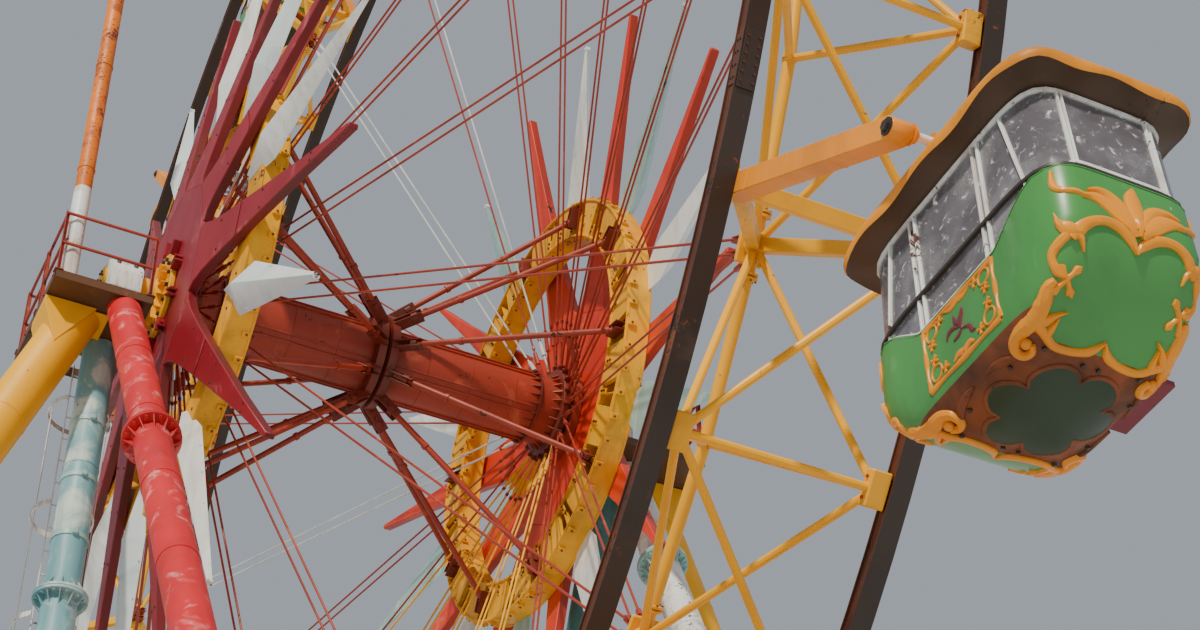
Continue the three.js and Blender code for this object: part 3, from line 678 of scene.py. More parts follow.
def station_node(bm):
    """Box beams, arms, gussets, lugs and the chord's node at a station, at angle zero."""
    chord = place(CHORD_RADIUS, 0)
    shoulder = RAIL_RADIUS - 0.02
    add_beam(bm, place(shoulder, -NODE_Y), place(shoulder, NODE_Y), 0.15, 0.105, Z_AXIS,
             YELLOW, 0.008)
    for side in SIDES:
        node = place(RAIL_RADIUS - 0.06, side * NODE_Y)
        add_beam(bm, chord, node, 0.13, 0.115, Z_AXIS, WORN if side < 0 else YELLOW, 0.008)
        add_plate(bm, arm_outline(), ARM_WIDTH, flat_at(side * NODE_Y), ARM, 0.008)
        for bend in SIDES:
            corners = [(RAIL_RADIUS - 0.10, bend * 0.097), (RAIL_RADIUS + 0.08, bend * 0.097),
                       (RAIL_RADIUS - 0.10, bend * 0.42)]
            add_plate(bm, corners, 0.018, flat_at(side * 0.992), YELLOW, 0.003)
            lug = Matrix.Translation((RAIL_RADIUS - 0.2, side * 0.95, bend * 0.075))
            add_box(bm, (0.16, 0.07, 0.018), lug, LUG, 0.004)
            add_bolt(bm, (RAIL_RADIUS - 0.22, side * 0.95, bend * 0.084), Z_AXIS * bend,
                     0.022, 0.018, BOLT)
        for along in (13.25, 13.95, 14.65):
            seam = Matrix.Translation((along, side * NODE_Y, 0))
            add_box(bm, (0.012, 0.193, 0.195), seam, ARM, 0.003)
        inner, outer = side * (NODE_Y - ARM_WIDTH / 2), side * (NODE_Y + ARM_WIDTH / 2)
        face = place(PIVOT_RADIUS, inner)
        add_tube(bm, place(PIVOT_RADIUS, side * 0.772), face, 0.06, 20, ARM)
        add_tube(bm, place(PIVOT_RADIUS, inner * 0.985), face, 0.085, 20, ARM)
        add_bolt(bm, (PIVOT_RADIUS, outer, 0), Y_AXIS * side, 0.05, 0.035, BOLT)
        add_tube(bm, place(PIVOT_RADIUS, outer), place(PIVOT_RADIUS, outer + side * 0.012),
                 0.072, 20, BOLT)
    for bend in SIDES:
        for gap in (0.26, 0.30):
            low = place(CHORD_RADIUS, 0, bend * gap)
            high = place(CHORD_RADIUS, 0, bend * (gap + 0.022))
            add_tube(bm, low, high, 0.088, 18, YELLOW)
        for bolt in range(6):
            turn = TURN * bolt / 6
            at = Vector((CHORD_RADIUS + 0.073 * math.cos(turn), 0.073 * math.sin(turn),
                         bend * 0.322))
            add_bolt(bm, at, Z_AXIS * bend, 0.010, 0.012, BOLT)
    add_box(bm, (0.05, 0.26, 0.34), Matrix.Translation((CHORD_RADIUS - 0.075, 0, 0)), YELLOW,
            0.01)
    add_ball(bm, chord, 0.105, YELLOW, 14)
    for side in SIDES:
        for bend in SIDES:
            tip = Matrix.Translation((CHORD_RADIUS - 0.19, side * 0.055, bend * 0.07))
            for gap in (-0.022, 0.022):
                add_box(bm, (0.26, 0.085, 0.012), tip @ Matrix.Translation((0, 0, gap)), LUG,
                        0.002)
            for along in (0.15, 0.25):
                add_bolt(bm, (CHORD_RADIUS - along, side * 0.055, bend * 0.098),
                         Z_AXIS * bend, 0.018, 0.018, BOLT)


def lattice_bay():
    """One station, the middle frame before it and the tubes that join them."""
    bm = bmesh.new()
    half = PITCH / 2
    brace, chord_tube = sizes().brace_tube, sizes().chord_tube
    station_node(bm)
    middle_node(bm, -half)
    chord = place(CHORD_RADIUS, 0)
    for turn in (-half, half):
        add_tube(bm, place(CHORD_RADIUS, 0, 0, turn), chord, chord_tube, 16)
        for side in SIDES:
            add_tube(bm, chord, place(RAIL_RADIUS - 0.03, side * NODE_Y, 0, turn), brace)
        far = place(RAIL_RADIUS - 0.02, -NODE_Y, 0, turn)
        add_tube(bm, place(RAIL_RADIUS - 0.02, NODE_Y), far, brace)
    return as_template(bm)


def lattice_sector(bay, sector):
    bm = bmesh.new()
    count = STATIONS // RIM_SECTORS
    stations = range(sector * count, (sector + 1) * count)
    add_copies(bm, bay, [turned(station_angle(index)) for index in stations])
    return bm


# The axle, the stars and what stands round them

def lengthwise(side, y):
    """A drawing plane of (radius, distance along the axle) that starts at y."""
    return Matrix(((1, 0, 0, 0), (0, side, 0, y), (0, 0, 1, 0), (0, 0, 0, 1)))


def axle_piece():
    """The thick axle tube with its ridges, end flanges and rows of gussets."""
    bm = bmesh.new()
    r, end = AXLE_RADIUS, AXLE_END
    add_band(bm, [(r - 0.02, -end + 0.1), (r, -end + 0.1), (r, end - 0.1),
                  (r - 0.02, end - 0.1)], 72)
    for side in SIDES:
        near, far = side * (end - 0.12), side * end
        add_band(bm, [(0.2, near), (0.62, near), (0.64, near + side * 0.012),
                      (0.64, far - side * 0.012), (0.62, far), (0.2, far)], 72)
        for at in (0.62, 1.24, 1.86):
            weld = side * at
            add_band(bm, [(r - 0.01, weld - 0.012), (r + 0.006, weld - 0.004),
                          (r + 0.006, weld + 0.004), (r - 0.01, weld + 0.012)], 72)
        add_band(bm, [(r - 0.01, side * 2.20), (0.515, side * 2.20), (0.515, side * 2.222),
                      (r - 0.01, side * 2.222)], 72, 1)
        tooth = bmesh.new()
        add_plate(tooth, [(r - 0.01, 0), (0.625, 0), (r - 0.01, -0.26)], 0.016,
                  lengthwise(side, near), 0, 0.003)
        add_plate(tooth, [(r - 0.01, 0), (0.51, 0), (r - 0.01, -0.16)], 0.014,
                  lengthwise(side, side * 2.20), 1, 0.003)
        repeat(tooth, 24)
        join(bm, tooth)
        bolts = bmesh.new()
        add_bolt(bolts, (0.57, near, 0.075), -Y_AXIS * side, 0.022, 0.026, 1)
        repeat(bolts, 24)
        join(bm, bolts)
    ridges = bmesh.new()
    for across in (-0.05, 0.05):
        turn = across / r
        add_box(ridges, (0.035, 4.3, 0.02),
                turned(turn, Vector()) @ Matrix.Translation((r + 0.01, 0, 0)), 0, 0.006)
    repeat(ridges, 5)
    join(bm, ridges)
    bm.transform(turned(FIRST_STATION + math.radians(24)))
    return bm


def shaft_piece(side):
    bm = bmesh.new()
    start, end = side * (AXLE_END + STAR_SHEET + 2 * SEAT_GAP), side * SHAFT_END
    add_band(bm, [(0.03, start), (0.575, start), (0.59, start + side * 0.012),
                  (0.59, start + side * 0.058), (0.575, start + side * 0.07),
                  (0.30, start + side * 0.07), (0.24, start + side * 0.13),
                  (SHAFT_RADIUS, start + side * 0.15), (SHAFT_RADIUS, end - side * 0.02),
                  (SHAFT_RADIUS - 0.02, end), (0.03, end)], 56)
    bolts = bmesh.new()
    add_bolt(bolts, (0.50, start + side * 0.07, 0), Y_AXIS * side, 0.03, 0.035, 1)
    add_box(bolts, (0.20, 0.09, 0.016), Matrix.Translation((0.33, start + side * 0.1, 0.06)), 0,
            0.004)
    repeat(bolts, 16)
    join(bm, bolts)
    lugs = bmesh.new()
    for gap in (-0.035, 0.035):
        add_box(lugs, (0.20, 0.10, 0.03), Matrix.Translation((0.69, start + side * 0.05, gap)), 2,
                0.006)
    add_bolt(lugs, (0.73, start + side * 0.05, 0.05), Z_AXIS, 0.03, 0.02, 2)
    repeat(lugs, 10)
    join(bm, lugs)
    cap = bmesh.new()
    add_bolt(cap, (0.12, end, 0), Y_AXIS * side, 0.018, 0.022, 1)
    repeat(cap, 8)
    join(bm, cap)
    bm.transform(turned(FIRST_STATION))
    return bm


STAR_ROOT = 1.56  # radius at which two arms part
STAR_BEND = 1.6  # radius from which an arm leans towards the wheel
STAR_LEAN = 0.12
STAR_SHEET = 0.12
STAR_TURN = math.radians(2.6)
STAR_FACE, STAR_BOLT, STAR_SHADED_RETURN = range(3)  # finishes of a star; returns take painted shade
SPIKE_ROOT, SPIKE_KNEE, SPIKE_TIP = 2.52, 3.24, 5.76
SPIKE_LEAN = 0.07
FIRST_SPIKES, SECOND_SPIKES, RING_LUG, RIVET = range(1, 5)  # finishes of a ring, after its sheet


def star_piece(side):
    """Ten tapering arms on a flat hub, folded from sheet with returned edges."""
    bm = bmesh.new()
    inner = side * (AXLE_END + SEAT_GAP)
    thick = STAR_SHEET
    root, root_half = STAR_ROOT * math.cos(PITCH), 0.482
    sweep = [(root, root_half), (1.60, 0.412), (1.82, 0.345), (2.3, 0.280), (3.3, 0.190),
             (4.5, 0.095), (5.64, 0.034)]
    outline = [(x, -half) for x, half in sweep] + [(x, half) for x, half in reversed(sweep)]
    arm = bmesh.new()
    add_plate(arm, outline, thick, flat_at(inner + side * thick / 2), STAR_FACE, 0.010)
    for vert in arm.verts:
        vert.co.y -= side * STAR_LEAN * max(0.0, vert.co.x - STAR_BEND)
    for radius, half in ((2.2, 0.2), (3.4, 0.12), (4.7, 0.05)):
        outer = inner + side * thick - side * STAR_LEAN * (radius - STAR_BEND)
        for across in (-half, half):
            add_bolt(arm, (radius, outer, across), Y_AXIS * side, 0.016, 0.010, STAR_BOLT)
    hub_edge = [(0.0, 0.0), (root, -root_half), (root, root_half)]
    add_plate(arm, hub_edge, thick, flat_at(inner + side * thick / 2), STAR_FACE)
    seam = Matrix.Translation((2.75, inner + side * (thick + 0.003) - side * STAR_LEAN * 1.15, 0))
    add_box(arm, (0.05, 0.006, 0.44), seam, STAR_FACE, 0.002)
    repeat(arm, STATIONS // 2)
    bmesh.ops.remove_doubles(arm, verts=arm.verts, dist=1e-4)
    join(bm, arm)
    # Faces that turn sideways, the returned edges, take the darker copy of the paint: painted shade
    for face in bm.faces:
        if abs(face.normal.y) < 0.4 and face.material_index == STAR_FACE:
            face.material_index = STAR_SHADED_RETURN
    bm.transform(turned(FIRST_STATION + PITCH - STAR_TURN))
    return bm


def spike_sheet(bm, side, material):
    """A folded kite with a ridge, its rivets and its capped tip, at angle zero."""
    outer = side * (RING_Y1 - 0.012)
    rows = [(SPIKE_ROOT, 0.05, 0.07), (SPIKE_KNEE, 0.335, 0.21), (SPIKE_TIP, 0.030, 0.055)]
    lean = lambda radius: -side * SPIKE_LEAN * (radius - SPIKE_ROOT)
    part = bmesh.new()
    levels = []
    for radius, half, ridge in rows:
        y = outer + lean(radius)
        levels.append([part.verts.new((radius, y, -half)),
                       part.verts.new((radius, y + side * ridge, 0)),
                       part.verts.new((radius, y, half))])
    for low, high in zip(levels, levels[1:]):
        for i in range(3):
            j = (i + 1) % 3
            part.faces.new((low[i], low[j], high[j], high[i]))
    part.faces.new(levels[0][::-1])
    part.faces.new(levels[-1])
    bmesh.ops.recalc_face_normals(part, faces=part.faces)
    paint_faces(part.verts, material)
    bevel_edges(part, part.verts[:], 0.003)
    join(bm, part)
    for share in (0.12, 0.3, 0.5, 0.7, 0.88):
        radius = SPIKE_KNEE + share * (SPIKE_TIP - SPIKE_KNEE)
        half = 0.34 + (0.030 - 0.34) * share - 0.035
        rise = 0.21 + (0.055 - 0.21) * share
        for across in (-half, half):
            y = outer + lean(radius) + side * rise * 0.1
            add_bolt(bm, (radius, y, across), Y_AXIS * side, 0.011, 0.016, RIVET)
    cap = (SPIKE_TIP - 0.01, outer + lean(SPIKE_TIP) + side * 0.026, 0)
    add_box(bm, (0.05, 0.07, 0.075), Matrix.Translation(cap), RIVET, 0.006)


def ring_piece(side):
    """A built-up channel ring with ribs, cleats and ten folded spikes."""
    bm = bmesh.new()
    y0, y1, wall = side * RING_Y0, side * RING_Y1, 0.016
    inner, outer = RING_INNER, RING_OUTER
    add_band(bm, [(inner, y0), (inner + wall, y0), (inner + wall, y1 - side * wall),
                  (outer - wall, y1 - side * wall), (outer - wall, y0), (outer, y0), (outer, y1),
                  (inner, y1)], 120)
    for radius in (inner - 0.012, outer - 0.03):
        for y in (y0 + side * 0.012, y1 - side * 0.03):
            add_band(bm, [(radius, y), (radius + 0.042, y), (radius + 0.042, y + side * 0.018),
                          (radius, y + side * 0.018)], 120)
    rib = bmesh.new()
    add_block(rib, (inner + wall, min(y0, y1) + 0.03, -0.006),
              (outer - wall, max(y0, y1) - 0.03, 0.006))
    add_box(rib, (0.16, 0.02, 0.07), Matrix.Translation((2.53, y0 + side * 0.02, 0.03)),
            bevel=0.004)
    for radius in (2.50, 2.57):
        add_bolt(rib, (radius, y0 + side * 0.01, 0.035), -Y_AXIS * side, 0.018, 0.02, RING_LUG)
    add_bolt(rib, (2.72, y1, 0.08), Y_AXIS * side, 0.018, 0.014, RING_LUG)
    repeat(rib, 40)
    join(bm, rib)
    cover = bmesh.new()
    middle, width = (inner + outer) / 2, outer - inner - 2 * wall
    add_box(cover, (width, 0.008, 0.54), Matrix.Translation((middle, y0 + side * 0.024, 0)))
    for across in (-0.262, 0.262):
        add_box(cover, (width, 0.05, 0.012),
                Matrix.Translation((middle, y0 + side * 0.045, across)))
    repeat(cover, STATIONS)
    cover.transform(turned(PITCH / 2, Vector()))
    join(bm, cover)
    cleat = bmesh.new()
    y = y0 + side * 0.07
    add_box(cleat, (0.06, 0.10, 0.075), Matrix.Translation((outer + 0.012, y, 0)), bevel=0.006)
    add_bolt(cleat, (outer + 0.04, y, 0), X_AXIS, 0.016, 0.016, RING_LUG)
    add_box(cleat, (0.05, 0.09, 0.07), Matrix.Translation((inner - 0.012, y, 0)), bevel=0.006)
    add_bolt(cleat, (inner - 0.034, y, 0), -X_AXIS, 0.016, 0.014, RING_LUG)
    repeat(cleat, 60)
    join(bm, cleat)
    lug = bmesh.new()
    for gap in (-0.05, 0.05):
        add_box(lug, (0.30, 0.14, 0.018), Matrix.Translation((2.68, y0 - side * 0.02, gap)),
                RING_LUG, 0.004)
    add_bolt(lug, (2.66, y0 - side * 0.03, 0.06), Z_AXIS, 0.03, 0.025, RING_LUG)
    repeat(lug, STATIONS // 2)
    lug.transform(turned(PITCH, Vector()))
    join(bm, lug)
    for angle, material in ((0, FIRST_SPIKES), (2 * PITCH, SECOND_SPIKES)):
        spikes = bmesh.new()
        spike_sheet(spikes, side, material)
        spikes.transform(turned(angle - STAR_TURN, Vector()))
        repeat(spikes, STATIONS // 4)
        join(bm, spikes)
    bm.transform(turned(FIRST_STATION))
    return bm


def brace_piece(side):
    """Tubes from the collars at the middle of the axle out to the ring's lugs."""
    bm = bmesh.new()
    bore = AXLE_RADIUS + SEAT_GAP
    add_band(bm, [(bore, side * 0.012), (0.60, side * 0.012), (0.64, side * 0.03),
                  (0.64, side * 0.132), (0.60, side * 0.15), (bore, side * 0.15)], 60, 1)
    arm = bmesh.new()
    start = place(0.59, side * 0.08)
    whole = place(2.79, side * 2.40) - start
    end = start + whole * 0.925
    add_tube(arm, start + whole * 0.09, end, sizes().ring_brace, 14, 0)
    for share in (0.28, 0.90):
        add_tube(arm, start + whole * share, start + whole * (share + 0.016),
                 sizes().ring_brace * 1.35, 14, 0)
    add_tube(arm, start + whole * 0.075, start + whole * 0.10, 0.07, 14, 1)
    along = whole.normalized()
    for gap in (-0.045, 0.045):
        add_beam(arm, start + Vector((0, 0, gap)), start + whole * 0.12 + Vector((0, 0, gap)),
                 0.15, 0.016, along.cross(Z_AXIS), 1, 0.003)
    for share in (0.03, 0.06):
        spot = start + whole * share + Vector((0, 0, 0.053))
        add_bolt(arm, spot, Z_AXIS, 0.026, 0.024, 1)
    plate = aimed(end, end + along * 0.02, Z_AXIS)
    add_box(arm, (0.11, 0.11, 0.018), plate, 0, 0.004)
    add_beam(arm, end, end + along * 0.11, 0.07, 0.09, Z_AXIS, 0, 0.006)
    repeat(arm, STATIONS // 2)
    join(bm, arm)
    bm.transform(turned(FIRST_STATION + PITCH))
    return bm


PALE_RODS = ((6, 1), (9, 1), (5, -1))  # station and side
ROD, CLAMP, PALE_ROD, YELLOW_ROD = range(4)  # finishes of a set of rods


def rod_piece(side, rng):
    """Pairs of taut rods with turnbuckles, from a collar by the axle's end to the chord."""
    bm = bmesh.new()
    bore = AXLE_RADIUS + SEAT_GAP
    add_band(bm, [(bore, side * 2.5), (0.59, side * 2.5), (0.6, side * 2.51),
                  (0.6, side * 2.59), (0.59, side * 2.6), (bore, side * 2.6)], 60, CLAMP)
    radius = sizes().rod
    for index in range(STATIONS):
        angle = station_angle(index)
        for bend in SIDES:
            draw = rng.random()
            in_fan = side > 0 and math.sin(angle) < -0.35 and math.cos(angle) < 0.1
            if (index, side) in PALE_RODS or draw < 0.05:
                material = PALE_ROD
            else:
                material = YELLOW_ROD if in_fan and draw < 0.9 else ROD
            start = place(0.575, side * 2.55, bend * 0.095, angle)
            end = place(CHORD_RADIUS - 0.14, side * 0.05, bend * 0.07, angle)
            span = end - start
            add_tube(bm, start, end, radius, 7, material)
            for share in (0.045, 0.955):
                add_tube(bm, start + span * (share - 0.009), start + span * (share + 0.009),
                         radius * 2.1, 8, material)
            add_tube(bm, start + span * 0.06, start + span * 0.064, radius * 1.6, 6, CLAMP)
            foot = aimed(start - span * 0.004, start + span * 0.008, tangent_at(angle))
            add_box(bm, (0.03, 0.09, 0.13), foot, CLAMP, 0.005)
    bm.transform(Matrix.Translation(HUB))
    return bm


def tangent_at(angle):
    return Vector((-math.sin(angle), 0, math.cos(angle)))


# Cabins, drawn round their pin

ROUND = 88
ROOF_ROUND = 132
TUB_LEVELS = (  # height, half length, half width
    (-1.14, 1.150, 0.622), (-1.45, 1.190, 0.626), (-1.62, 1.175, 0.628), (-1.76, 1.105, 0.628),
    (-1.88, 1.010, 0.626), (-1.99, 0.905, 0.620), (-2.075, 0.795, 0.603), (-2.145, 0.675, 0.565),
    (-2.20, 0.560, 0.505), (-2.245, 0.430, 0.410), (-2.27, 0.300, 0.290), (-2.28, 0.160, 0.160),
)
TUB_TOP = -1.17
DOOR_TOP = -1.45
WINDOW_TOP = -0.37
SILL = -1.175
FLOOR = -2.06
CORNER_POWER = 6.5
UNDER_TOP, UNDER_TOP_AT_DOORS = -2.19, -2.09  # underside paint, darkened as painted shade, below these
DOME = ((-1, -0.4), (-0.86, 0.45), (-0.42, 0.92), (0.42, 0.92), (0.86, 0.45), (1, -0.4))
BAR = ((-1, -0.6), (-1, 0.85), (-0.8, 1), (0.8, 1), (1, 0.85), (1, -0.6))


def oval_point(half_x, half_y, turn, power=CORNER_POWER):
    """A point on a rectangle with full round corners, in the direction of a turn."""
    c, s = math.cos(turn), math.sin(turn)
    reach = (abs(c / half_x) ** power + abs(s / half_y) ** power) ** (-1 / power)
    return reach * c, reach * s


def between(table, height):
    """Half length and half width at a height, from a table that runs downwards."""
    if height >= table[0][0]:
        return table[0][1:]
    for (z0, x0, y0), (z1, x1, y1) in zip(table, table[1:]):
        if height >= z1:
            share = (z0 - height) / (z0 - z1)
            return x0 + (x1 - x0) * share, y0 + (y1 - y0) * share
    return table[-1][1:]


def tub_edge(x):
    """Height of the tub's top edge: low at the doors, and swept up to the ends."""
    share = min(1.0, max(0.0, (abs(x) - 0.46) / 0.46))
    share = share ** 1.3 * (1.6 - 0.6 * share)
    return DOOR_TOP + (TUB_TOP - DOOR_TOP) * share


def loop_points(half_x, half_y, height):
    """A level ring of corners with the cabin's plan."""
    return [Vector((*oval_point(half_x, half_y, TURN * i / ROUND), height))
            for i in range(ROUND)]


def add_loops(bm, loops, materials, close_first=False, close_last=False):
    """Rings of corners joined one to the next, with a material for each band."""
    rows = [[bm.verts.new(point) for point in loop] for loop in loops]
    for (low, high), material in zip(zip(rows, rows[1:]), materials):
        for i in range(len(low)):
            j = (i + 1) % len(low)
            face = bm.faces.new((low[i], low[j], high[j], high[i]))
            face.material_index = material
    if close_first:
        bm.faces.new(rows[0][::-1]).material_index = materials[0]
    if close_last:
        bm.faces.new(rows[-1]).material_index = materials[-1]


BODY, FIELD, ORNAMENT, FRAME, GLASS, STEEL, SHADE, MAROON, ROOF, UNDER = range(10)


def tub_loops(inset=0.0):
    """Rings of corners down the tub, from its swept top edge to its bottom."""
    top = []
    for i in range(ROUND):
        turn = TURN * i / ROUND
        x, y = oval_point(TUB_LEVELS[1][1], TUB_LEVELS[1][2], turn)
        z = tub_edge(x) if abs(y) > 0.45 else TUB_TOP
        half = between(TUB_LEVELS, z)
        x, y = oval_point(half[0] - inset, half[1] - inset, turn)
        top.append(Vector((x, y, z)))
    return [top] + [loop_points(half_x - inset, half_y - inset, z + inset * 0.6)
                    for z, half_x, half_y in TUB_LEVELS[2:]]


def tub_shell():
    """The outer skin alone, which the scrolls are laid on."""
    bm = bmesh.new()
    loops = tub_loops()[::-1]
    add_loops(bm, loops, [BODY] * (len(loops) - 1), close_first=True)
    bmesh.ops.recalc_face_normals(bm, faces=bm.faces)
    return bm


def add_strip(bm, path, widths, height, profile, material, closed=False):
    """A bar laid along (point, normal) pairs, with its own half width at each."""
    rows, count = [], len(path)
    for i, (point, normal) in enumerate(path):
        before = path[i - 1][0] if (i or closed) else point
        after = path[(i + 1) % count][0] if (i < count - 1 or closed) else point
        across = (after - before).cross(normal).normalized() * widths[i]
        rows.append([bm.verts.new(point + across * a + normal * height * r) for a, r in profile])
    pairs = list(zip(rows, rows[1:])) + ([(rows[-1], rows[0])] if closed else [])
    for low, high in pairs:
        for i in range(len(profile)):
            j = (i + 1) % len(profile)
            bm.faces.new((low[i], high[i], high[j], low[j])).material_index = material
    if not closed:
        bm.faces.new(rows[0]).material_index = material
        bm.faces.new(rows[-1][::-1]).material_index = material


def smooth_path(points, steps=5, closed=False):
    """A smooth run through points of any size (Catmull-Rom)."""
    count = len(points)
    at = lambda i: points[i % count] if closed else points[min(max(i, 0), count - 1)]
    result = []
    for i in range(count if closed else count - 1):
        a, b, c, d = at(i - 1), at(i), at(i + 1), at(i + 2)
        for step in range(steps):
            t = step / steps
            result.append(tuple(
                0.5 * (2 * q + (r - p) * t + (2 * p - 5 * q + 4 * r - s) * t * t
                       + (3 * q - p - 3 * r + s) * t ** 3)
                for p, q, r, s in zip(a, b, c, d)))
    if not closed:
        result.append(tuple(points[-1]))
    return result


class Drape:
    """Lays flat drawings on the tub's skin: on an end, on a side or on the underside."""

    def __init__(self, tree):
        self.tree = tree

    def at(self, where, u, v):
        start, aim = {
            "front": ((3, u, v), (-1, 0, 0)), "back": ((-3, -u, v), (1, 0, 0)),
            "door": ((u, 3, v), (0, -1, 0)), "off_door": ((-u, -3, v), (0, 1, 0)),
            "under": ((u, v, -4), (0, 0, 1)),
        }[where]
        location, normal, _, _ = self.tree.ray_cast(Vector(start), Vector(aim))
        if location is None:
            raise RuntimeError(f"nothing to lay an ornament on at {where} {u:.2f} {v:.2f}")
        if normal.dot(Vector(aim)) > 0:
            normal = -normal
        return location, normal

    def stroke(self, bm, where, points, height, material=ORNAMENT, steps=4, closed=False):
        """A raised stroke through (u, v, half width) points."""
        run = smooth_path(points, steps, closed)
        path = [self.at(where, u, v) for u, v, _ in run]
        add_strip(bm, path, [max(0.003, width) for _, _, width in run], height, DOME, material,
                  closed)


def sprig(drape, bm, where, u, v, size, turn, height=0.016):
    """A small cross of four buds."""
    for quarter in range(4):
        a = turn + quarter * TURN / 4
        c, s = math.cos(a), math.sin(a)
        points = [(u, v, size * 0.24), (u + c * size * 0.45, v + s * size * 0.45, size * 0.20),
                  (u + c * size * 0.8, v + s * size * 0.8, size * 0.36),
                  (u + c * size * 1.05, v + s * size * 1.05, 0.003)]
        drape.stroke(bm, where, points, height, steps=2 if size > 0.06 else 1)


def end_scrolls(drape, bm, where):
    """The crown, the scrolled frame and the scallops on one bulged end."""
    relief = sizes().relief
    stroke = drape.stroke
    end = 1 if where == "front" else -1
    stroke(bm, where, [(0, -1.66, 0.016), (0, -1.56, 0.050), (0, -1.42, 0.072),
                       (0, -1.31, 0.058), (0, -1.255, 0.016)], relief * 1.7)
    for m in SIDES:
        stroke(bm, where, [(m * 0.02, -1.665, 0.03), (m * 0.11, -1.555, 0.074),
                           (m * 0.20, -1.480, 0.074), (m * 0.30, -1.440, 0.052),
                           (m * 0.41, -1.450, 0.010)], relief * 1.3)
        stroke(bm, where, [(m * 0.03, -1.62, 0.02), (m * 0.09, -1.47, 0.048),
                           (m * 0.17, -1.385, 0.046), (m * 0.27, -1.360, 0.032),
                           (m * 0.36, -1.395, 0.008)], relief * 1.2)
        stroke(bm, where, [(m * 0.37, -1.45, 0.014), (m * 0.45, -1.415, 0.024),
                           (m * 0.51, -1.405, 0.024), (m * 0.545, -1.34, 0.030),
                           (m * 0.540, -1.215, 0.014)], relief)
        stroke(bm, where, [(0, -1.765, 0.012), (m * 0.05, -1.70, 0.040), (m * 0.15, -1.645, 0.040),
                           (m * 0.27, -1.632, 0.034), (m * 0.37, -1.665, 0.040),
                           (m * 0.44, -1.725, 0.050), (m * 0.475, -1.775, 0.030)], relief * 1.1)
        stroke(bm, where, [(m * 0.42, -1.73, 0.024), (m * 0.50, -1.72, 0.056),
                           (m * 0.55, -1.67, 0.030), (m * 0.568, -1.60, 0.004)], relief * 1.3)
        stroke(bm, where, [(m * 0.46, -1.74, 0.028), (m * 0.41, -1.775, 0.024),
                           (m * 0.38, -1.84, 0.004)], relief)
        stroke(bm, where, [(m * 0.50, -1.75, 0.034), (m * 0.55, -1.82, 0.034),
                           (m * 0.545, -1.885, 0.030), (m * 0.505, -1.945, 0.034),
                           (m * 0.45, -1.97, 0.020)], relief * 1.1)
        sprig(drape, bm, where, m * 0.435, -1.98, 0.095, math.pi / 4, height=relief)
        stroke(bm, "under", [(end * 0.865, m * 0.50, 0.026), (end * 0.81, m * 0.525, 0.044),
                             (end * 0.725, m * 0.515, 0.056), (end * 0.64, m * 0.515, 0.062),
                             (end * 0.55, m * 0.535, 0.058), (end * 0.45, m * 0.545, 0.046),
                             (end * 0.375, m * 0.515, 0.040), (end * 0.37, m * 0.455, 0.034),
                             (end * 0.425, m * 0.425, 0.030), (end * 0.48, m * 0.455, 0.024)],
               relief * 1.7)
        location, normal = drape.at("under", end * 0.46, m * 0.485)
        add_ball(bm, location + normal * 0.006, 0.040, ORNAMENT, 12)
        stroke(bm, "under", [(end * 0.60, m * 0.50, 0.044), (end * 0.66, m * 0.445, 0.036),
                             (end * 0.71, m * 0.40, 0.020), (end * 0.745, m * 0.35, 0.004)],
               relief * 1.3)
        stroke(bm, "under", [(end * 0.60, m * 0.485, 0.040), (end * 0.575, m * 0.42, 0.036),
                             (end * 0.53, m * 0.335, 0.032), (end * 0.525, m * 0.24, 0.032),
                             (end * 0.54, m * 0.14, 0.032), (end * 0.575, m * 0.06, 0.034),
                             (end * 0.65, 0, 0.006)], relief * 1.3)
        stroke(bm, "under", [(end * 0.57, m * 0.40, 0.030), (end * 0.62, m * 0.395, 0.026),
                             (end * 0.70, m * 0.385, 0.004)], relief * 1.2)


def clover(drape, bm, size, lobes, steps):
    """A dark field of round lobes with a raised rim, in the middle of the underside; its dark paint
    is deepened as painted shade.
    """
    def edge(turn, share):
        radius = size * share * (0.72 + 0.28 * abs(math.sin(turn * lobes / 2)) ** 0.6)
        return radius * math.cos(turn), radius * math.sin(turn)

    turns = [TURN * i / steps for i in range(steps)]
    rim = [(*edge(turn, 1.0), 0.020) for turn in turns]
    drape.stroke(bm, "under", rim, 0.016, UNDER, 1, True)
    rows = []
    lift = 0.011
    for share in (0.99, 0.85, 0.66, 0.33):
        row = []
        for turn in turns:
            location, normal = drape.at("under", *edge(turn, share))
            row.append(bm.verts.new(location + normal * lift))
        rows.append(row)
    location, normal = drape.at("under", 0, 0)
    middle = bm.verts.new(location + normal * lift)
    faces = []
    for i in range(steps):
        j = (i + 1) % steps
        for low, high in zip(rows, rows[1:]):
            faces.append(bm.faces.new((low[i], low[j], high[j], high[i])))
        faces.append(bm.faces.new((rows[-1][i], rows[-1][j], middle)))
    for face in faces:
        face.material_index = FIELD
        face.normal_update()
        if face.normal.z > 0:
            face.normal_flip()


def underside(drape, bm):
    """One wide clover under the floor, with volutes and bolts round it."""
    relief = sizes().relief
    clover(drape, bm, 0.465, 6, 60)
    for m in SIDES:
        for n in SIDES:
            drape.stroke(bm, "under", [(m * 0.37, n * 0.455, 0.020), (m * 0.28, n * 0.505, 0.032),
                                       (m * 0.17, n * 0.53, 0.030), (m * 0.08, n * 0.535, 0.010)],
                         relief, UNDER)
            for u, v in ((0.465, 0.06), (0.24, 0.465), (0.49, 0.37)):
                location, normal = drape.at("under", m * u, n * v)
                add_bolt(bm, location, normal, 0.018, 0.020, STEEL)


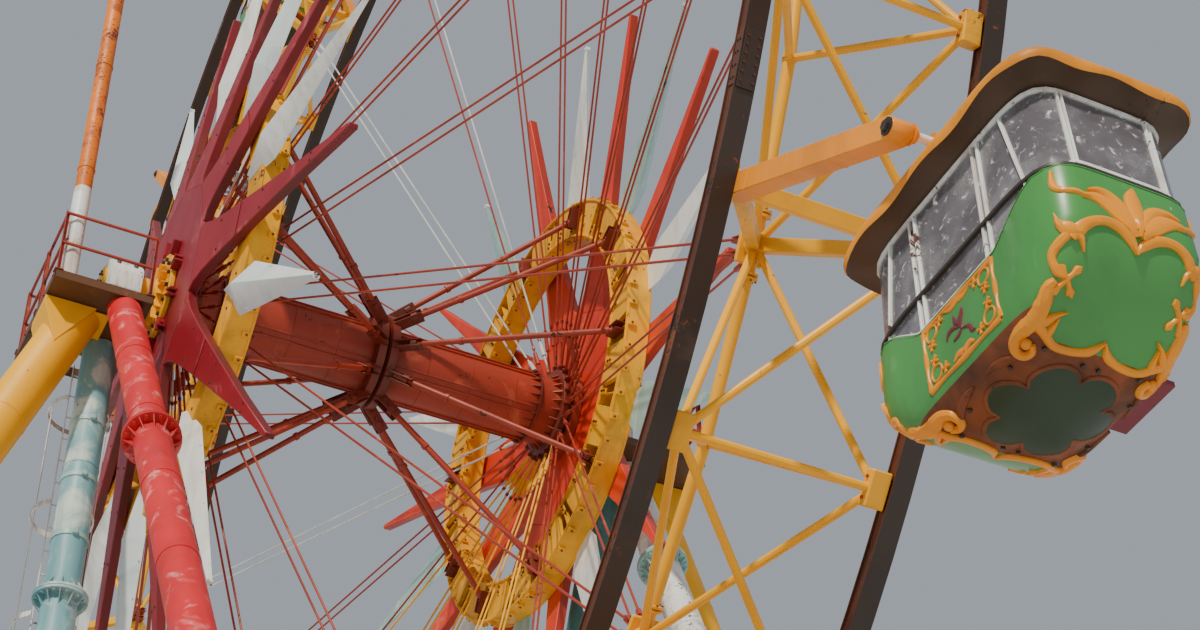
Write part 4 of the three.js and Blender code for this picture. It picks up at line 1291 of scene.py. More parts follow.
def door_panel(drape, bm, where):
    """The framed panel on a door: border, corner rings with sprigs, and three leaves."""
    top, low, half = DOOR_TOP - 0.025, -1.99, 0.42
    edges = [[(-half, top), (half, top)], [(half, top), (half, low)], [(half, low), (-half, low)],
             [(-half, low), (-half, top)]]
    for (u0, v0), (u1, v1) in edges:
        run = []
        for i in range(13):
            share = i / 12
            run.append((u0 + (u1 - u0) * share, v0 + (v1 - v0) * share,
                        0.020 + 0.007 * math.cos(share * 4 * TURN / 2)))
        drape.stroke(bm, where, run, 0.014, ORNAMENT, 1)
    for m in SIDES:
        for v, flip_v in ((-1.555, 1), (-1.895, -1)):
            ring = [(m * 0.32 + 0.062 * math.cos(TURN * i / 14),
                     v + 0.062 * math.sin(TURN * i / 14), 0.009) for i in range(14)]
            drape.stroke(bm, where, ring, 0.012, ORNAMENT, 1, True)
            sprig(drape, bm, where, m * 0.215, v + flip_v * 0.03, 0.042, 0.3)
            sprig(drape, bm, where, m * 0.325, v - flip_v * 0.105, 0.042, 0.5)
        for run in ([(m * 0.12, -1.955, 0.008), (m * 0.07, -1.925, 0.026), (0, -1.945, 0.03)],
                    [(m * 0.16, -1.49, 0.006), (m * 0.08, -1.52, 0.022), (0, -1.505, 0.026)]):
            drape.stroke(bm, where, run, 0.012)
    leaves = [
        [(-0.02, -1.77, 0.006), (0.0, -1.70, 0.034), (-0.03, -1.64, 0.026),
         (-0.045, -1.595, 0.004)],
        [(0.0, -1.72, 0.006), (0.05, -1.66, 0.024), (0.06, -1.60, 0.004)],
        [(0.02, -1.73, 0.006), (0.08, -1.695, 0.020), (0.14, -1.70, 0.022), (0.165, -1.745, 0.004)],
        [(-0.02, -1.76, 0.006), (0.03, -1.79, 0.020), (0.09, -1.80, 0.004)],
        [(-0.03, -1.77, 0.006), (-0.09, -1.80, 0.018), (-0.12, -1.86, 0.020),
         (-0.155, -1.875, 0.004)],
    ]
    for leaf in leaves:
        drape.stroke(bm, where, leaf, 0.010, MAROON, 4)


def window_half(height):
    """Half length and half width of the glazing, which narrows a little upwards."""
    share = (WINDOW_TOP - height) / (WINDOW_TOP - DOOR_TOP)
    return 1.075 + 0.055 * share, 0.592 + 0.008 * share


def glazing(bm):
    """One curved shell of glass, with a thickness, down to the tub's edge."""
    loops = [[], []]
    for i in range(ROUND):
        turn = TURN * i / ROUND
        x, y = oval_point(*window_half(SILL), turn)
        low = (tub_edge(x) if abs(y) > 0.45 else TUB_TOP) - 0.03
        for loop, height in zip(loops, (low, WINDOW_TOP)):
            px, py = oval_point(*window_half(height), turn)
            loop.append(Vector((px, py, height)))
    shell = bmesh.new()
    add_loops(shell, loops, [GLASS])
    bmesh.ops.recalc_face_normals(shell, faces=shell.faces)
    if shell.faces[0].normal.dot(shell.faces[0].calc_center_median()) < 0:
        bmesh.ops.reverse_faces(shell, faces=shell.faces)
    bmesh.ops.solidify(shell, geom=shell.faces[:], thickness=0.006)
    paint_faces(shell.verts, GLASS)
    join(bm, shell)


def on_window(turn, height, out=0.004):
    """A point and its outward normal on the glazing at a plan turn and a height."""
    half_x, half_y = window_half(height)
    x, y = oval_point(half_x, half_y, turn)
    a, b = abs(x / half_x), abs(y / half_y)
    power = CORNER_POWER - 1
    normal = Vector((math.copysign(a ** power / half_x, x),
                     math.copysign(b ** power / half_y, y), 0))
    normal.normalize()
    return Vector((x, y, height)) + normal * out, normal


def turn_for(x=None, y=None, height=SILL, side=1):
    """The plan turn at which the glazing passes a distance along or across the cabin."""
    half_x, half_y = window_half(height)
    if x is not None:
        y = side * half_y * (1 - abs(x / half_x) ** CORNER_POWER) ** (1 / CORNER_POWER)
    else:
        x = side * half_x * (1 - abs(y / half_y) ** CORNER_POWER) ** (1 / CORNER_POWER)
    return math.atan2(y, x)


def window_frames(bm):
    """Posts, double at the doors, with the rails above and below them."""
    width, depth = sizes().frame_bar / 2, 0.018
    for side in SIDES:
        for end in SIDES:
            for at, low_at in ((0.375, 0.375), (0.44, 0.44), (0.70, 0.86)):
                path, low = [], tub_edge(low_at)
                for step in range(7):
                    share = step / 6
                    x = at + (low_at - at) * share
                    height = WINDOW_TOP + (low - WINDOW_TOP) * share
                    path.append(on_window(turn_for(x=end * x, height=height, side=side), height))
                add_strip(bm, path, [width * 0.62] * 7, depth, BAR, FRAME)
        for y in (-0.375, -0.345, 0.345, 0.375):
            path = [on_window(turn_for(y=y, height=h, side=side), h)
                    for h in (WINDOW_TOP, -0.6, -0.9, TUB_TOP - 0.01)]
            add_strip(bm, path, [width * 0.42] * 4, depth, BAR, FRAME)
    turns = [TURN * (i + 0.5) / ROUND for i in range(ROUND)]
    for height, half, out, material in ((WINDOW_TOP - 0.01, 0.018, 0.0, FRAME),
                                        (SILL + 0.035, 0.014, 0.020, STEEL)):
        path = [on_window(turn, height, out) for turn in turns]
        add_strip(bm, path, [half] * ROUND, depth, BAR, material, True)
    edge = []
    for turn in turns:
        x, y = oval_point(*window_half(SILL), turn)
        height = tub_edge(x) + 0.014 if abs(y) > 0.45 else TUB_TOP + 0.080
        edge.append(on_window(turn, height, 0.008))
    add_strip(bm, edge, [0.015] * ROUND, depth * 0.9, BAR, FRAME, True)


def roof(bm):
    """A shallow roof with a thick wavy brim and a dark underside, which is painted shade."""
    def level(half_x, half_y, height, wave, droop=0.0):
        points = []
        for i in range(ROOF_ROUND):
            turn = TURN * (i + 0.5) / ROOF_ROUND
            x, y = oval_point(half_x, half_y, turn, 7.5)
            along = min(abs(x) / half_x, 1.0)
            across = min(abs(y) / half_y, 1.0)
            corner = max(0.0, along + across - 1.55) / 0.45
            ripple = 0.6 * math.cos(x * 7.5) * across ** 6 + 0.6 * math.cos(y * 9.5) * along ** 6
            points.append(Vector((x, y, height + wave * ripple - droop * corner ** 2)))
        return points

    rings = [
        level(1.02, 0.545, -0.365, 0.0), level(1.07, 0.60, -0.330, 0.0),
        level(1.235, 0.745, -0.290, 0.042, 0.060), level(1.262, 0.766, -0.290, 0.046, 0.070),
        level(1.275, 0.775, -0.265, 0.042, 0.072), level(1.277, 0.776, -0.225, 0.014, 0.070),
        level(1.262, 0.762, -0.190, 0.006, 0.060), level(1.225, 0.735, -0.165, 0.0, 0.040),
        level(1.10, 0.64, -0.09, 0.0), level(0.96, 0.53, 0.01, 0.0),
        level(0.80, 0.41, 0.09, 0.0), level(0.55, 0.26, 0.132, 0.0),
    ]
    part = bmesh.new()
    add_loops(part, rings, [SHADE] * 3 + [ROOF] * 8, True, True)
    bmesh.ops.recalc_face_normals(part, faces=part.faces)
    join(bm, part)
    for turn in range(0, 360, 30):
        a = math.radians(turn + 15)
        run = []
        for half_x, half_y, height in ((1.21, 0.725, -0.165), (1.10, 0.64, -0.09),
                                       (0.96, 0.53, 0.01), (0.80, 0.41, 0.09), (0.56, 0.26, 0.132)):
            x, y = oval_point(half_x, half_y, a, 6.0)
            run.append((Vector((x, y, height)), Vector((x * 0.4, y * 0.4, 0.8)).normalized()))
        add_strip(bm, run, [0.018] * 5, 0.012, DOME, ROOF)
    for x in (-0.8, -0.4, 0.0, 0.4, 0.8):
        add_block(bm, (x - 0.02, -0.56, -0.372), (x + 0.02, 0.56, -0.335), SHADE, 0.004)


def cabin_template():
    """A whole cabin round its pin, made once and copied to every station."""
    skin = tub_shell()
    drape = Drape(BVHTree.FromBMesh(skin))
    bm = bmesh.new()
    skin.faces.ensure_lookup_table()
    # Faces low on the tub take the underside orange, darkened as painted shade
    for face in skin.faces:
        middle = face.calc_center_median()
        at_doors = abs(middle.y) > 0.42 and abs(middle.x) < 0.66
        if middle.z < (UNDER_TOP_AT_DOORS if at_doors else UNDER_TOP):
            face.material_index = UNDER
    bmesh.ops.solidify(skin, geom=skin.faces[:], thickness=sizes().sheet)
    join(bm, skin)
    rim = [(point + Vector((0, 0, 0.004)), Z_AXIS) for point in tub_loops(0.010)[0]]
    add_strip(bm, rim, [0.016] * ROUND, 0.012, DOME, BODY, True)
    floor_half = between(TUB_LEVELS, FLOOR)
    floor_loops = [loop_points(floor_half[0] - 0.03, floor_half[1] - 0.03, z)
                   for z in (FLOOR - 0.012, FLOOR + 0.012)]
    add_loops(bm, floor_loops, [SHADE], True, True)
    for where in ("front", "back"):
        end_scrolls(drape, bm, where)
    for where in ("door", "off_door"):
        door_panel(drape, bm, where)
    underside(drape, bm)
    glazing(bm)
    window_frames(bm)
    roof(bm)
    for side in SIDES:
        add_tube(bm, Vector((0, side * 0.40, 0)), Vector((0, side * 0.7697, 0)), 0.035, 20, FRAME)
        add_tube(bm, Vector((0, side * 0.44, 0)), Vector((0, side * 0.62, 0)), 0.055, 20, ROOF)
        add_tube(bm, Vector((0, side * 0.615, 0)), Vector((0, side * 0.635, 0)), 0.075, 20, ROOF)
    add_block(bm, (-0.06, 0.50, -2.185), (0.50, 0.665, -2.135), MAROON, 0.008)
    for x in (0.02, 0.42):
        add_block(bm, (x - 0.02, 0.48, -2.15), (x + 0.02, 0.56, -2.06), STEEL, 0.004)
    return as_template(bm)


# The towers

FLANGE_REACH = 0.11
FLANGE_BOLTS = 12
FLANGE_EVERY = 10.0
WELD_EVERY = 1.9
STRAPS = (1.25, 2.1, 2.95, 5.4, 8.6, 11.9)  # down from the column's top
BASE_HALF = 0.7
BASE_SHEET = 0.08


def add_flange(bm, at, along, radius, material):
    """A pair of bolted flange plates round a leg, with ribs on both sides."""
    part = bmesh.new()
    for gap in (-0.034, 0.004):
        add_tube(part, Vector((0, 0, gap)), Vector((0, 0, gap + 0.030)), radius + FLANGE_REACH,
                 32, material, hint=X_AXIS)
    bolt_circle = radius + FLANGE_REACH * 0.62
    for i in range(FLANGE_BOLTS):
        a = TURN * i / FLANGE_BOLTS
        spot = Vector((bolt_circle * math.cos(a), bolt_circle * math.sin(a), 0))
        add_bolt(part, spot + Z_AXIS * 0.034, Z_AXIS, 0.022, 0.024, material)
        add_bolt(part, spot - Z_AXIS * 0.034, -Z_AXIS, 0.022, 0.024, material)
        turn = Matrix.Rotation(a + TURN / FLANGE_BOLTS / 2, 4, "Z")
        for way in SIDES:
            corners = [(radius - 0.005, way * 0.03), (radius + FLANGE_REACH * 0.9, way * 0.03),
                       (radius - 0.005, way * 0.20)]
            add_plate(part, corners, 0.012, turn @ STANDING, material, 0.002)
    place_on_leg = aimed(at, at + along, X_AXIS)
    place_on_leg.translation = at
    join(bm, part, place_on_leg)


LEGS = {  # finish, top, foot, radius, first flange down from the top, slot
    "left_column": ("column_teal", (-0.2, -TOWER_Y), (-0.2, -TOWER_Y), LEG_RADIUS, 3.76,
                    "teal_paint"),
    "left_raking_leg": ("red", (0.63, -3.476), (13.9, -3.476), LEG_RADIUS, 4.35, "red_paint"),
    "left_outrigger": ("yellow", (0.22, -3.96), (0.22, -11.55), OUTRIGGER_RADIUS, 7.0,
                       "yellow_paint"),
    "right_front_leg": ("rusty_white", (0.33, TOWER_Y), (9.4, TOWER_Y), LEG_RADIUS, 2.3,
                        "white_paint"),
    # The far leg takes the teal darkened as painted shade
    "right_back_leg": ("shaded_teal", (-0.33, TOWER_Y), (-9.4, TOWER_Y), LEG_RADIUS, 2.3,
                       "teal_paint"),
    "right_outrigger": ("yellow", (0.0, 3.96), (0.0, 11.55), OUTRIGGER_RADIUS, 7.0,
                        "yellow_paint"),
}


def leg_piece(name):
    """A tubular leg with weld rings, bolted flanges, a gusseted head and a base plate."""
    _, top, foot, radius, first, _ = LEGS[name]
    top = Vector((*top, DECK_BOTTOM - SEAT_GAP))
    foot = Vector((*foot, 0.0))
    along = (foot - top).normalized()
    length = (foot - top).length
    bm = bmesh.new()
    slant = radius * math.hypot(along.x, along.y) / abs(along.z)
    add_tube(bm, top - along * slant, foot + along * slant, radius, 36, 0, hint=X_AXIS)
    for point, normal in ((top, Z_AXIS), (Vector((0, 0, 0.04)), -Z_AXIS)):
        geometry = bm.verts[:] + bm.edges[:] + bm.faces[:]
        bmesh.ops.bisect_plane(bm, geom=geometry, plane_co=point, plane_no=normal,
                               clear_outer=True)
        bmesh.ops.holes_fill(bm, edges=bm.edges[:], sides=60)
    at = first
    flange_finish = 2 if name == "right_front_leg" else 0
    while at < length - 1.5:
        add_flange(bm, top + along * at, along, radius, flange_finish)
        at += FLANGE_EVERY
    at = WELD_EVERY
    while at < length - 0.8:
        weld = top + along * at
        add_tube(bm, weld - along * 0.010, weld + along * 0.010, radius + 0.006, 36, 0,
                 hint=X_AXIS)
        at += WELD_EVERY
    if name == "left_column":
        for at in STRAPS:
            strap = top + along * at
            add_tube(bm, strap - along * 0.03, strap + along * 0.03, radius + 0.012, 36, 2,
                     hint=X_AXIS)
            clip = Matrix.Translation(strap + X_AXIS * (radius + 0.02))
            add_box(bm, (0.05, 0.06, 0.07), clip, 2, 0.006)
    if "outrigger" in name:
        way = 1 if top.y > 0 else -1
        corners = [(-0.18, 0.0), (0.46, 0.0), (0.46, -0.10), (0.27, -0.68)]
        matrix = Matrix(((0, 0, 1, top.x), (way, 0, 0, top.y), (0, 1, 0, top.z - 0.002),
                         (0, 0, 0, 1)))
        add_plate(bm, corners, 0.60, matrix, 0, 0.006)
        add_block(bm, (top.x - 0.24, top.y - 0.36, top.z - 0.03),
                  (top.x + 0.24, top.y + 0.36, top.z), 0, 0.006)
    half, base = BASE_HALF, BASE_SHEET
    add_block(bm, (foot.x - half, foot.y - half, 0), (foot.x + half, foot.y + half, base), 0, 0.01)
    for i in range(8):
        a = TURN * (i + 0.5) / 8
        rib = Matrix.Translation((foot.x, foot.y, base)) @ Matrix.Rotation(a, 4, "Z")
        add_plate(bm, [(radius * 0.8, -0.01), (0.6, -0.01), (0.56, 0.06), (radius, 0.40),
                       (radius * 0.8, 0.40)], 0.02, rib @ STANDING, 0, 0.003)
    for x in (-0.58, -0.2, 0.2, 0.58):
        for y in (-0.58, -0.2, 0.2, 0.58):
            if max(abs(x), abs(y)) > 0.5:
                add_bolt(bm, (foot.x + x, foot.y + y, base), Z_AXIS, 0.03, 0.05, 1)
    return bm


HATCH = ((-0.83, -3.90), (-0.45, -3.28))
DECK_HALF = 0.88
DECK_SHEET = 0.012


def deck_piece(side):
    """A steel deck on a frame of channels, with a plated edge."""
    bm = bmesh.new()
    y0, y1 = sorted((side * 3.19, side * 4.42))
    half, sheet = DECK_HALF, DECK_SHEET
    (hx0, hy0), (hx1, hy1) = HATCH
    if side < 0:
        for low, high in (((-half, y0), (half, hy0)), ((-half, hy1), (half, y1)),
                          ((-half, hy0), (hx0, hy1)), ((hx1, hy0), (half, hy1))):
            add_block(bm, (*low, DECK_TOP - sheet), (*high, DECK_TOP), 0)
        for low, high in (((hx0 - sheet, hy0), (hx0, hy1)), ((hx1, hy0), (hx1 + sheet, hy1)),
                          ((hx0, hy0 - sheet), (hx1, hy0)), ((hx0, hy1), (hx1, hy1 + sheet))):
            add_block(bm, (*low, DECK_BOTTOM + 0.02), (*high, DECK_TOP - sheet), 0)
    else:
        add_block(bm, (-half, y0, DECK_TOP - sheet), (half, y1, DECK_TOP), 0)
    edge, low = 0.010, DECK_BOTTOM
    for y, way in ((y0, 1), (y1, -1)):
        add_block(bm, (-half, min(y, y + way * edge), low),
                  (half, max(y, y + way * edge), DECK_TOP - sheet), 0, 0.002)
    for x in (-half, half):
        way = -1 if x > 0 else 1
        add_block(bm, (min(x, x + way * edge), y0, low),
                  (max(x, x + way * edge), y1, DECK_TOP - sheet), 0, 0.002)
    inner = half - edge
    under = [((-inner, y0 + edge), (inner, y1 - edge))]
    if side < 0:
        under = [((-inner, y0 + edge), (inner, hy0 - sheet)),
                 ((-inner, hy1 + sheet), (inner, y1 - edge)),
                 ((-inner, hy0 - sheet), (hx0 - sheet, hy1 + sheet)),
                 ((hx1 + sheet, hy0 - sheet), (inner, hy1 + sheet))]
    for corner, far in under:
        add_block(bm, (*corner, low + 0.012), (*far, low + 0.022), 0)
    for x in (-0.30, 0.34):
        add_block(bm, (x - 0.03, y0 + edge, low + 0.001), (x + 0.03, y1 - edge, low + 0.013), 0,
                  0.002)
    for x in (-0.8, -0.4, 0.0, 0.4, 0.8):
        for y, way in ((y0, -1), (y1, 1)):
            add_bolt(bm, (x, y, DECK_BOTTOM + 0.06), (0, way, 0), 0.014, 0.014, 1)
    return bm


def railing_piece(side):
    """Angle posts and flat rails, with feet bolted to the deck."""
    bm = bmesh.new()
    near, far = side * 3.23, side * 4.38
    end, foot = 0.84, DECK_TOP + SEAT_GAP
    posts = [(-end, near), (-end, far), (0.0, far), (end, far), (end, near)]
    for x, y in posts:
        for size, shift in (((0.05, 0.008, 1.0), (0, 0.021)), ((0.008, 0.05, 1.0), (0.021, 0))):
            way = 1 if x <= 0 else -1
            add_box(bm, size, Matrix.Translation((x + shift[0] * way, y + shift[1] * side,
                                                  foot + 0.5)), 0, 0.002)
        add_box(bm, (0.11, 0.11, 0.012), Matrix.Translation((x, y, foot + 0.006)), 0, 0.002)
        for dx in (-0.035, 0.035):
            add_bolt(bm, (x + dx, y - side * 0.03, foot + 0.012), Z_AXIS, 0.010, 0.012, 1)
    for rise in (0.46, 0.95):
        z = foot + rise + 0.02
        add_box(bm, (2 * end + 0.03, 0.034, 0.038), Matrix.Translation((0, far, z)), 0, 0.008)
        middle, span = (near + far) / 2, abs(far - near)
        for x in (-end, end):
            add_box(bm, (0.034, span, 0.038), Matrix.Translation((x, middle, z)), 0, 0.008)
    add_box(bm, (2 * end, 0.008, 0.10), Matrix.Translation((0, far + side * 0.02, foot + 0.055)), 0,
            0.002)
    return bm


def bearing_piece(side):
    """A split pedestal bearing with its cap bolts, and the housing box that shows on the deck."""
    bm = bmesh.new()
    y0, y1 = sorted((side * 3.24, side * 3.64))
    foot = DECK_TOP + SEAT_GAP
    add_block(bm, (-0.42, y0 - 0.03, foot), (0.42, y1 + 0.03, foot + 0.05), 0, 0.008)
    bore = SHAFT_RADIUS + 0.0015
    upright = Matrix.Translation((0, (y0 + y1) / 2, HUB.z)) @ STANDING
    arc = [(bore * math.cos(TURN * i / 48), bore * math.sin(TURN * i / 48)) for i in range(25)]
    cap = [(0.30, 0.005), (0.29, 0.12), (0.22, 0.22), (0.10, 0.268), (-0.10, 0.268), (-0.22, 0.22),
           (-0.29, 0.12), (-0.30, 0.005)]
    rise = foot + 0.05 - HUB.z
    block = [(-0.33, -0.005), (-0.33, rise), (0.33, rise), (0.33, -0.005)]
    add_plate(bm, cap + [(x, max(z, 0.005)) for x, z in arc[::-1]], y1 - y0, upright, 0)
    add_plate(bm, block + [(x, min(-z, -0.005)) for x, z in arc], y1 - y0, upright, 0)
    collars = bmesh.new()
    for y in (y0 - 0.008, y1 + 0.008):
        add_band(collars, [(bore, y - 0.008), (bore + 0.10, y - 0.008), (bore + 0.10, y + 0.008),
                           (bore, y + 0.008)], 40)
    join(bm, collars, Matrix.Translation(HUB))
    for x in (-0.27, 0.27):
        for y in (y0 + 0.09, y1 - 0.09):
            add_bolt(bm, (x, y, HUB.z + 0.14), Z_AXIS, 0.03, 0.05, 1)
            add_bolt(bm, (x * 1.42, y, foot + 0.05), Z_AXIS, 0.026, 0.04, 1)
    for x in (-0.37, 0.37):
        for y in (y0 + 0.05, y1 - 0.05):
            way = 1 if x > 0 else -1
            add_plate(bm, [(way * 0.32, foot + 0.05), (way * 0.415, foot + 0.05),
                           (way * 0.32, foot + 0.34)], 0.014,
                      Matrix.Translation((0, y, 0)) @ STANDING, 0, 0.002)
    return bm


def ladder_piece():
    """The ladder behind the column, inside a cage of thin hoops."""
    bm = bmesh.new()
    face_x = -0.2 - LEG_RADIUS * math.cos(math.pi / 10)
    rail_x, y0 = face_x - 0.18, -TOWER_Y
    bottom, top = 0.3, DECK_BOTTOM - 0.06
    for side in SIDES:
        add_box(bm, (0.045, 0.012, top - bottom),
                Matrix.Translation((rail_x, y0 + side * 0.21, (top + bottom) / 2)), 0, 0.002)
    rungs = 62
    for i in range(rungs):
        z = bottom + 0.15 + i * (top - bottom - 0.3) / (rungs - 1)
        add_tube(bm, Vector((rail_x, y0 - 0.215, z)), Vector((rail_x, y0 + 0.215, z)), 0.012, 8, 0)
        if i % 7 == 0:
            add_block(bm, (rail_x, y0 - 0.025, z - 0.02), (face_x + 0.02, y0 + 0.025, z + 0.02), 0,
                      0.003)
    hoop_radius, centre_x = 0.375, rail_x - 0.27
    first, last = bottom + 2.6, HUB.z - 1.5
    hoops = 12
    for i in range(hoops):
        z = first + i * (last - first) / (hoops - 1)
        path = []
        for step in range(25):
            a = math.radians(38 + 284 * step / 24)
            out = Vector((math.cos(a), math.sin(a), 0))
            path.append((Vector((centre_x, y0, z)) + out * hoop_radius, out))
        add_strip(bm, path, [0.036] * 25, 0.008, BAR, 0)
    for degrees in (75, 128, 180, 232, 285):
        a = math.radians(degrees)
        out = Vector((math.cos(a), math.sin(a), 0))
        at = Vector((centre_x, y0, 0)) + out * (hoop_radius - 0.006)
        matrix = Matrix.Translation((at.x, at.y, (first + last) / 2)) @ Matrix.Rotation(a, 4, "Z")
        add_box(bm, (0.006, 0.016, last - first), matrix)
    return bm


POLE_HEIGHT = 6.2
POLE_RADIUS = 0.105
POLE_WHITE = 1.55  # height of the white foot


def pole_piece():
    """The rusty lamp pole on the deck, white at its foot, with weld rings and a foot plate."""
    bm = bmesh.new()
    foot = Vector((0.69, -4.23, DECK_TOP + SEAT_GAP))
    radius, top = POLE_RADIUS, foot + Z_AXIS * POLE_HEIGHT
    add_tube(bm, foot + Z_AXIS * 0.02, top, radius, 32, 0, hint=X_AXIS)
    add_tube(bm, foot + Z_AXIS * 0.02, foot + Z_AXIS * POLE_WHITE, radius + 0.003, 32, 1,
             hint=X_AXIS)
    add_block(bm, (0.575, -4.34, foot.z), (0.805, -4.12, foot.z + 0.025), 1, 0.003)
    for i in range(4):
        a = TURN * (i + 0.5) / 4
        spot = foot + Vector((0.125 * math.cos(a), 0.125 * math.sin(a), 0.025))
        add_bolt(bm, spot, Z_AXIS, 0.014, 0.02, 2)
    for rise in (1.9, 3.8, 5.7):
        add_tube(bm, foot + Z_AXIS * (rise - 0.012), foot + Z_AXIS * (rise + 0.012),
                 radius + 0.008, 32, 0, hint=X_AXIS)
    add_tube(bm, top - Z_AXIS * 0.01, top, 0.10, 32, 0, 0.05, hint=X_AXIS)
    return bm


# Finishes of the cabins

def cabin_finishes(kind):
    """The finishes of a green or a red cabin, in the order of its material numbers."""
    p = paints()
    green = kind == "green"
    body = tuple(p.cabin_green if green else p.cabin_red)
    worn = dict(fade=0.3, chips=0.06, grime=0.3, scale=0.8, gloss=0.35)
    dull = dict(fade=0.3, chips=0.2, grime=0.45)
    dirt = srgb(40, 62, 34) if green else srgb(96, 28, 20)
    faded = srgb(112, 172, 108) if green else srgb(222, 110, 84)
    # The clover fields' dark paint, deepened further as painted shade
    field = srgb(16, 46, 20) if green else srgb(72, 14, 14)
    return [
        paint_finish(f"Cabin {kind}", body, faded, PRIMER, dirt=dirt, **worn),
        paint_finish(f"Shaded deep {kind}", field, faded, PRIMER, dirt=dirt, **worn),
        paint_finish("Ornament orange", tuple(p.ornament), srgb(240, 160, 6),
                     srgb(150, 84, 30), dirt=srgb(170, 78, 4), **worn),
        painted("rusty_white"),
        hazy_glass(),
        painted("dark_steel"),
        # Dark brown for the roof's underside, the bars under it and the cabin's floor: painted
        # shade
        paint_finish("Roof underside in painted shade", srgb(74, 50, 30), srgb(104, 74, 48), DARK_RUST, **dull),
        paint_finish("Maroon", srgb(122, 34, 52), srgb(150, 70, 84), DARK_RUST, **dull),
        paint_finish("Roof orange", srgb(236, 148, 0), srgb(228, 150, 26), DARK_RUST,
                     dirt=srgb(126, 66, 10), **dull),
        # The underside's orange paint, darkened, with heavy dark grime that is partly real dirt and
        # partly painted shade
        paint_finish("Underside orange in painted shade", srgb(134, 62, 2), srgb(96, 48, 6), DARK_RUST,
                     dirt=srgb(44, 22, 4), fade=0.5, chips=0.1, grime=0.8),
    ]


# Stage

STAGE_HALF = 400.0
SKY_STRENGTH = 0.54
LIGHTS = (  # name, direction, strength, width in degrees, colour
    ("Key sun", (-0.62, 0.50, -0.60), 3.9, 2.5, srgb(255, 246, 232)),
    ("Left fill", (0.3, 0.8, 0.25), 0.36, 60.0, srgb(226, 234, 244)),
    ("Back fill", (0.7, -0.6, -0.3), 0.36, 60.0, srgb(236, 240, 244)),
)


def light_stage():
    """A plain pale floor, a pale sky, a soft key light and two fills."""
    bm = bmesh.new()
    bmesh.ops.create_grid(bm, x_segments=1, y_segments=1, size=STAGE_HALF)
    mesh = as_template(bm)
    mesh.name = "stage_floor"
    floor = bpy.data.objects.new("stage_floor", mesh)
    bpy.context.scene.collection.objects.link(floor)
    material, tree, shader, spot = new_material("Pale floor")
    clouds = noise_mask(tree, spot, 0.08, 3.0)
    link(tree, mixed(tree, clouds, srgb(214, 214, 212), srgb(222, 222, 220)),
         shader.inputs["Base Color"])
    shader.inputs["Roughness"].default_value = 0.9
    mesh.materials.append(material)

    world = bpy.data.worlds.new("Pale studio")
    world.use_nodes = True
    background = world.node_tree.nodes["Background"]
    background.inputs["Color"].default_value = solid_color(srgb(214, 222, 232))
    background.inputs["Strength"].default_value = SKY_STRENGTH
    bpy.context.scene.world = world
    for name, aim, strength, angle, color in LIGHTS:
        light = bpy.data.lights.new(name, "SUN")
        light.energy = strength
        light.angle = math.radians(angle)
        light.color = color
        lamp = bpy.data.objects.new(name, light)
        lamp.rotation_euler = Vector(aim).to_track_quat("-Z", "Y").to_euler()
        bpy.context.scene.collection.objects.link(lamp)


LENS = 72.585
CAMERA_SPOT = Vector((22.8943, -8.2443, 1.4216))
CAMERA_RIGHT = Vector((0.43953, 0.89809, -0.0154))
CAMERA_AHEAD = Vector((-0.66896, 0.33874, 0.66162))


def add_camera():
    """The viewpoint of the photograph, well below the axle and outside the rim."""
    camera = bpy.data.cameras.new("Camera")
    camera.sensor_width = 36.0
    camera.lens = LENS
    camera.clip_end = 500.0
    right = CAMERA_RIGHT.normalized()
    ahead = (CAMERA_AHEAD - right * CAMERA_AHEAD.dot(right)).normalized()
    turn = Matrix((right, right.cross(ahead), -ahead)).transposed().to_4x4()
    viewer = bpy.data.objects.new("Camera", camera)
    viewer.matrix_world = Matrix.Translation(CAMERA_SPOT) @ turn
    bpy.context.scene.collection.objects.link(viewer)
    bpy.context.scene.camera = viewer


# The steps, one for each piece or group of like pieces

class WHEEL_OT_rails(bpy.types.Operator):
    """Two dark rails round the rim"""
    bl_idname = "wheel.rails"
    bl_label = "Rails"

    def execute(self, context):
        for side, name in zip(SIDES, ("left_rail", "right_rail")):
            finish_piece(f"{name}_look", rail_piece(side), coats("rail", "rail_brown"), "wheel",
                         (name,))
        return {"FINISHED"}


class WHEEL_OT_lattice(bpy.types.Operator):
    """Five bolted lengths of the rim's yellow lattice"""
    bl_idname = "wheel.lattice"
    bl_label = "Rim lattice"

    def execute(self, context):
        finishes = coats("yellow", "orange", "worn_yellow", "terracotta", "dark_steel")
        bay = lattice_bay()
        for sector in range(RIM_SECTORS):
            name = f"rim_lattice_{sector + 1}"
            finish_piece(f"{name}_look", lattice_sector(bay, sector), finishes, "wheel",
                         (name,))
        bpy.data.meshes.remove(bay)
        return {"FINISHED"}


class WHEEL_OT_axle(bpy.types.Operator):
    """The axle tube and its two shafts"""
    bl_idname = "wheel.axle"
    bl_label = "Axle"

    def execute(self, context):
        finish_piece("axle_tube_look", axle_piece(), coats("terracotta", "dark_terracotta"),
                     "wheel", ("axle_tube",))
        for side, name in zip(SIDES, ("left_shaft", "right_shaft")):
            star = "crimson" if side < 0 else "orange_red"
            finish_piece(f"{name}_look", shaft_piece(side), coats("yellow", "dark_steel", star),
                         "wheel", (name,))
        return {"FINISHED"}


class WHEEL_OT_stars(bpy.types.Operator):
    """The star on each end of the axle"""
    bl_idname = "wheel.stars"
    bl_label = "Stars"

    def execute(self, context):
        # Each star's third finish, for its returned edges, is a darker copy painted as shade
        for side, name, kinds, slot in (
                (-1, "left_star", ("crimson", "dark_steel", "shaded_crimson"), "crimson_paint"),
                (1, "right_star", ("orange_red", "dark_steel", "shaded_orange_red"),
                 "orange_red_paint")):
            finish_piece(f"{name}_look", star_piece(side), coats(*kinds), "wheel", (name,))
        return {"FINISHED"}


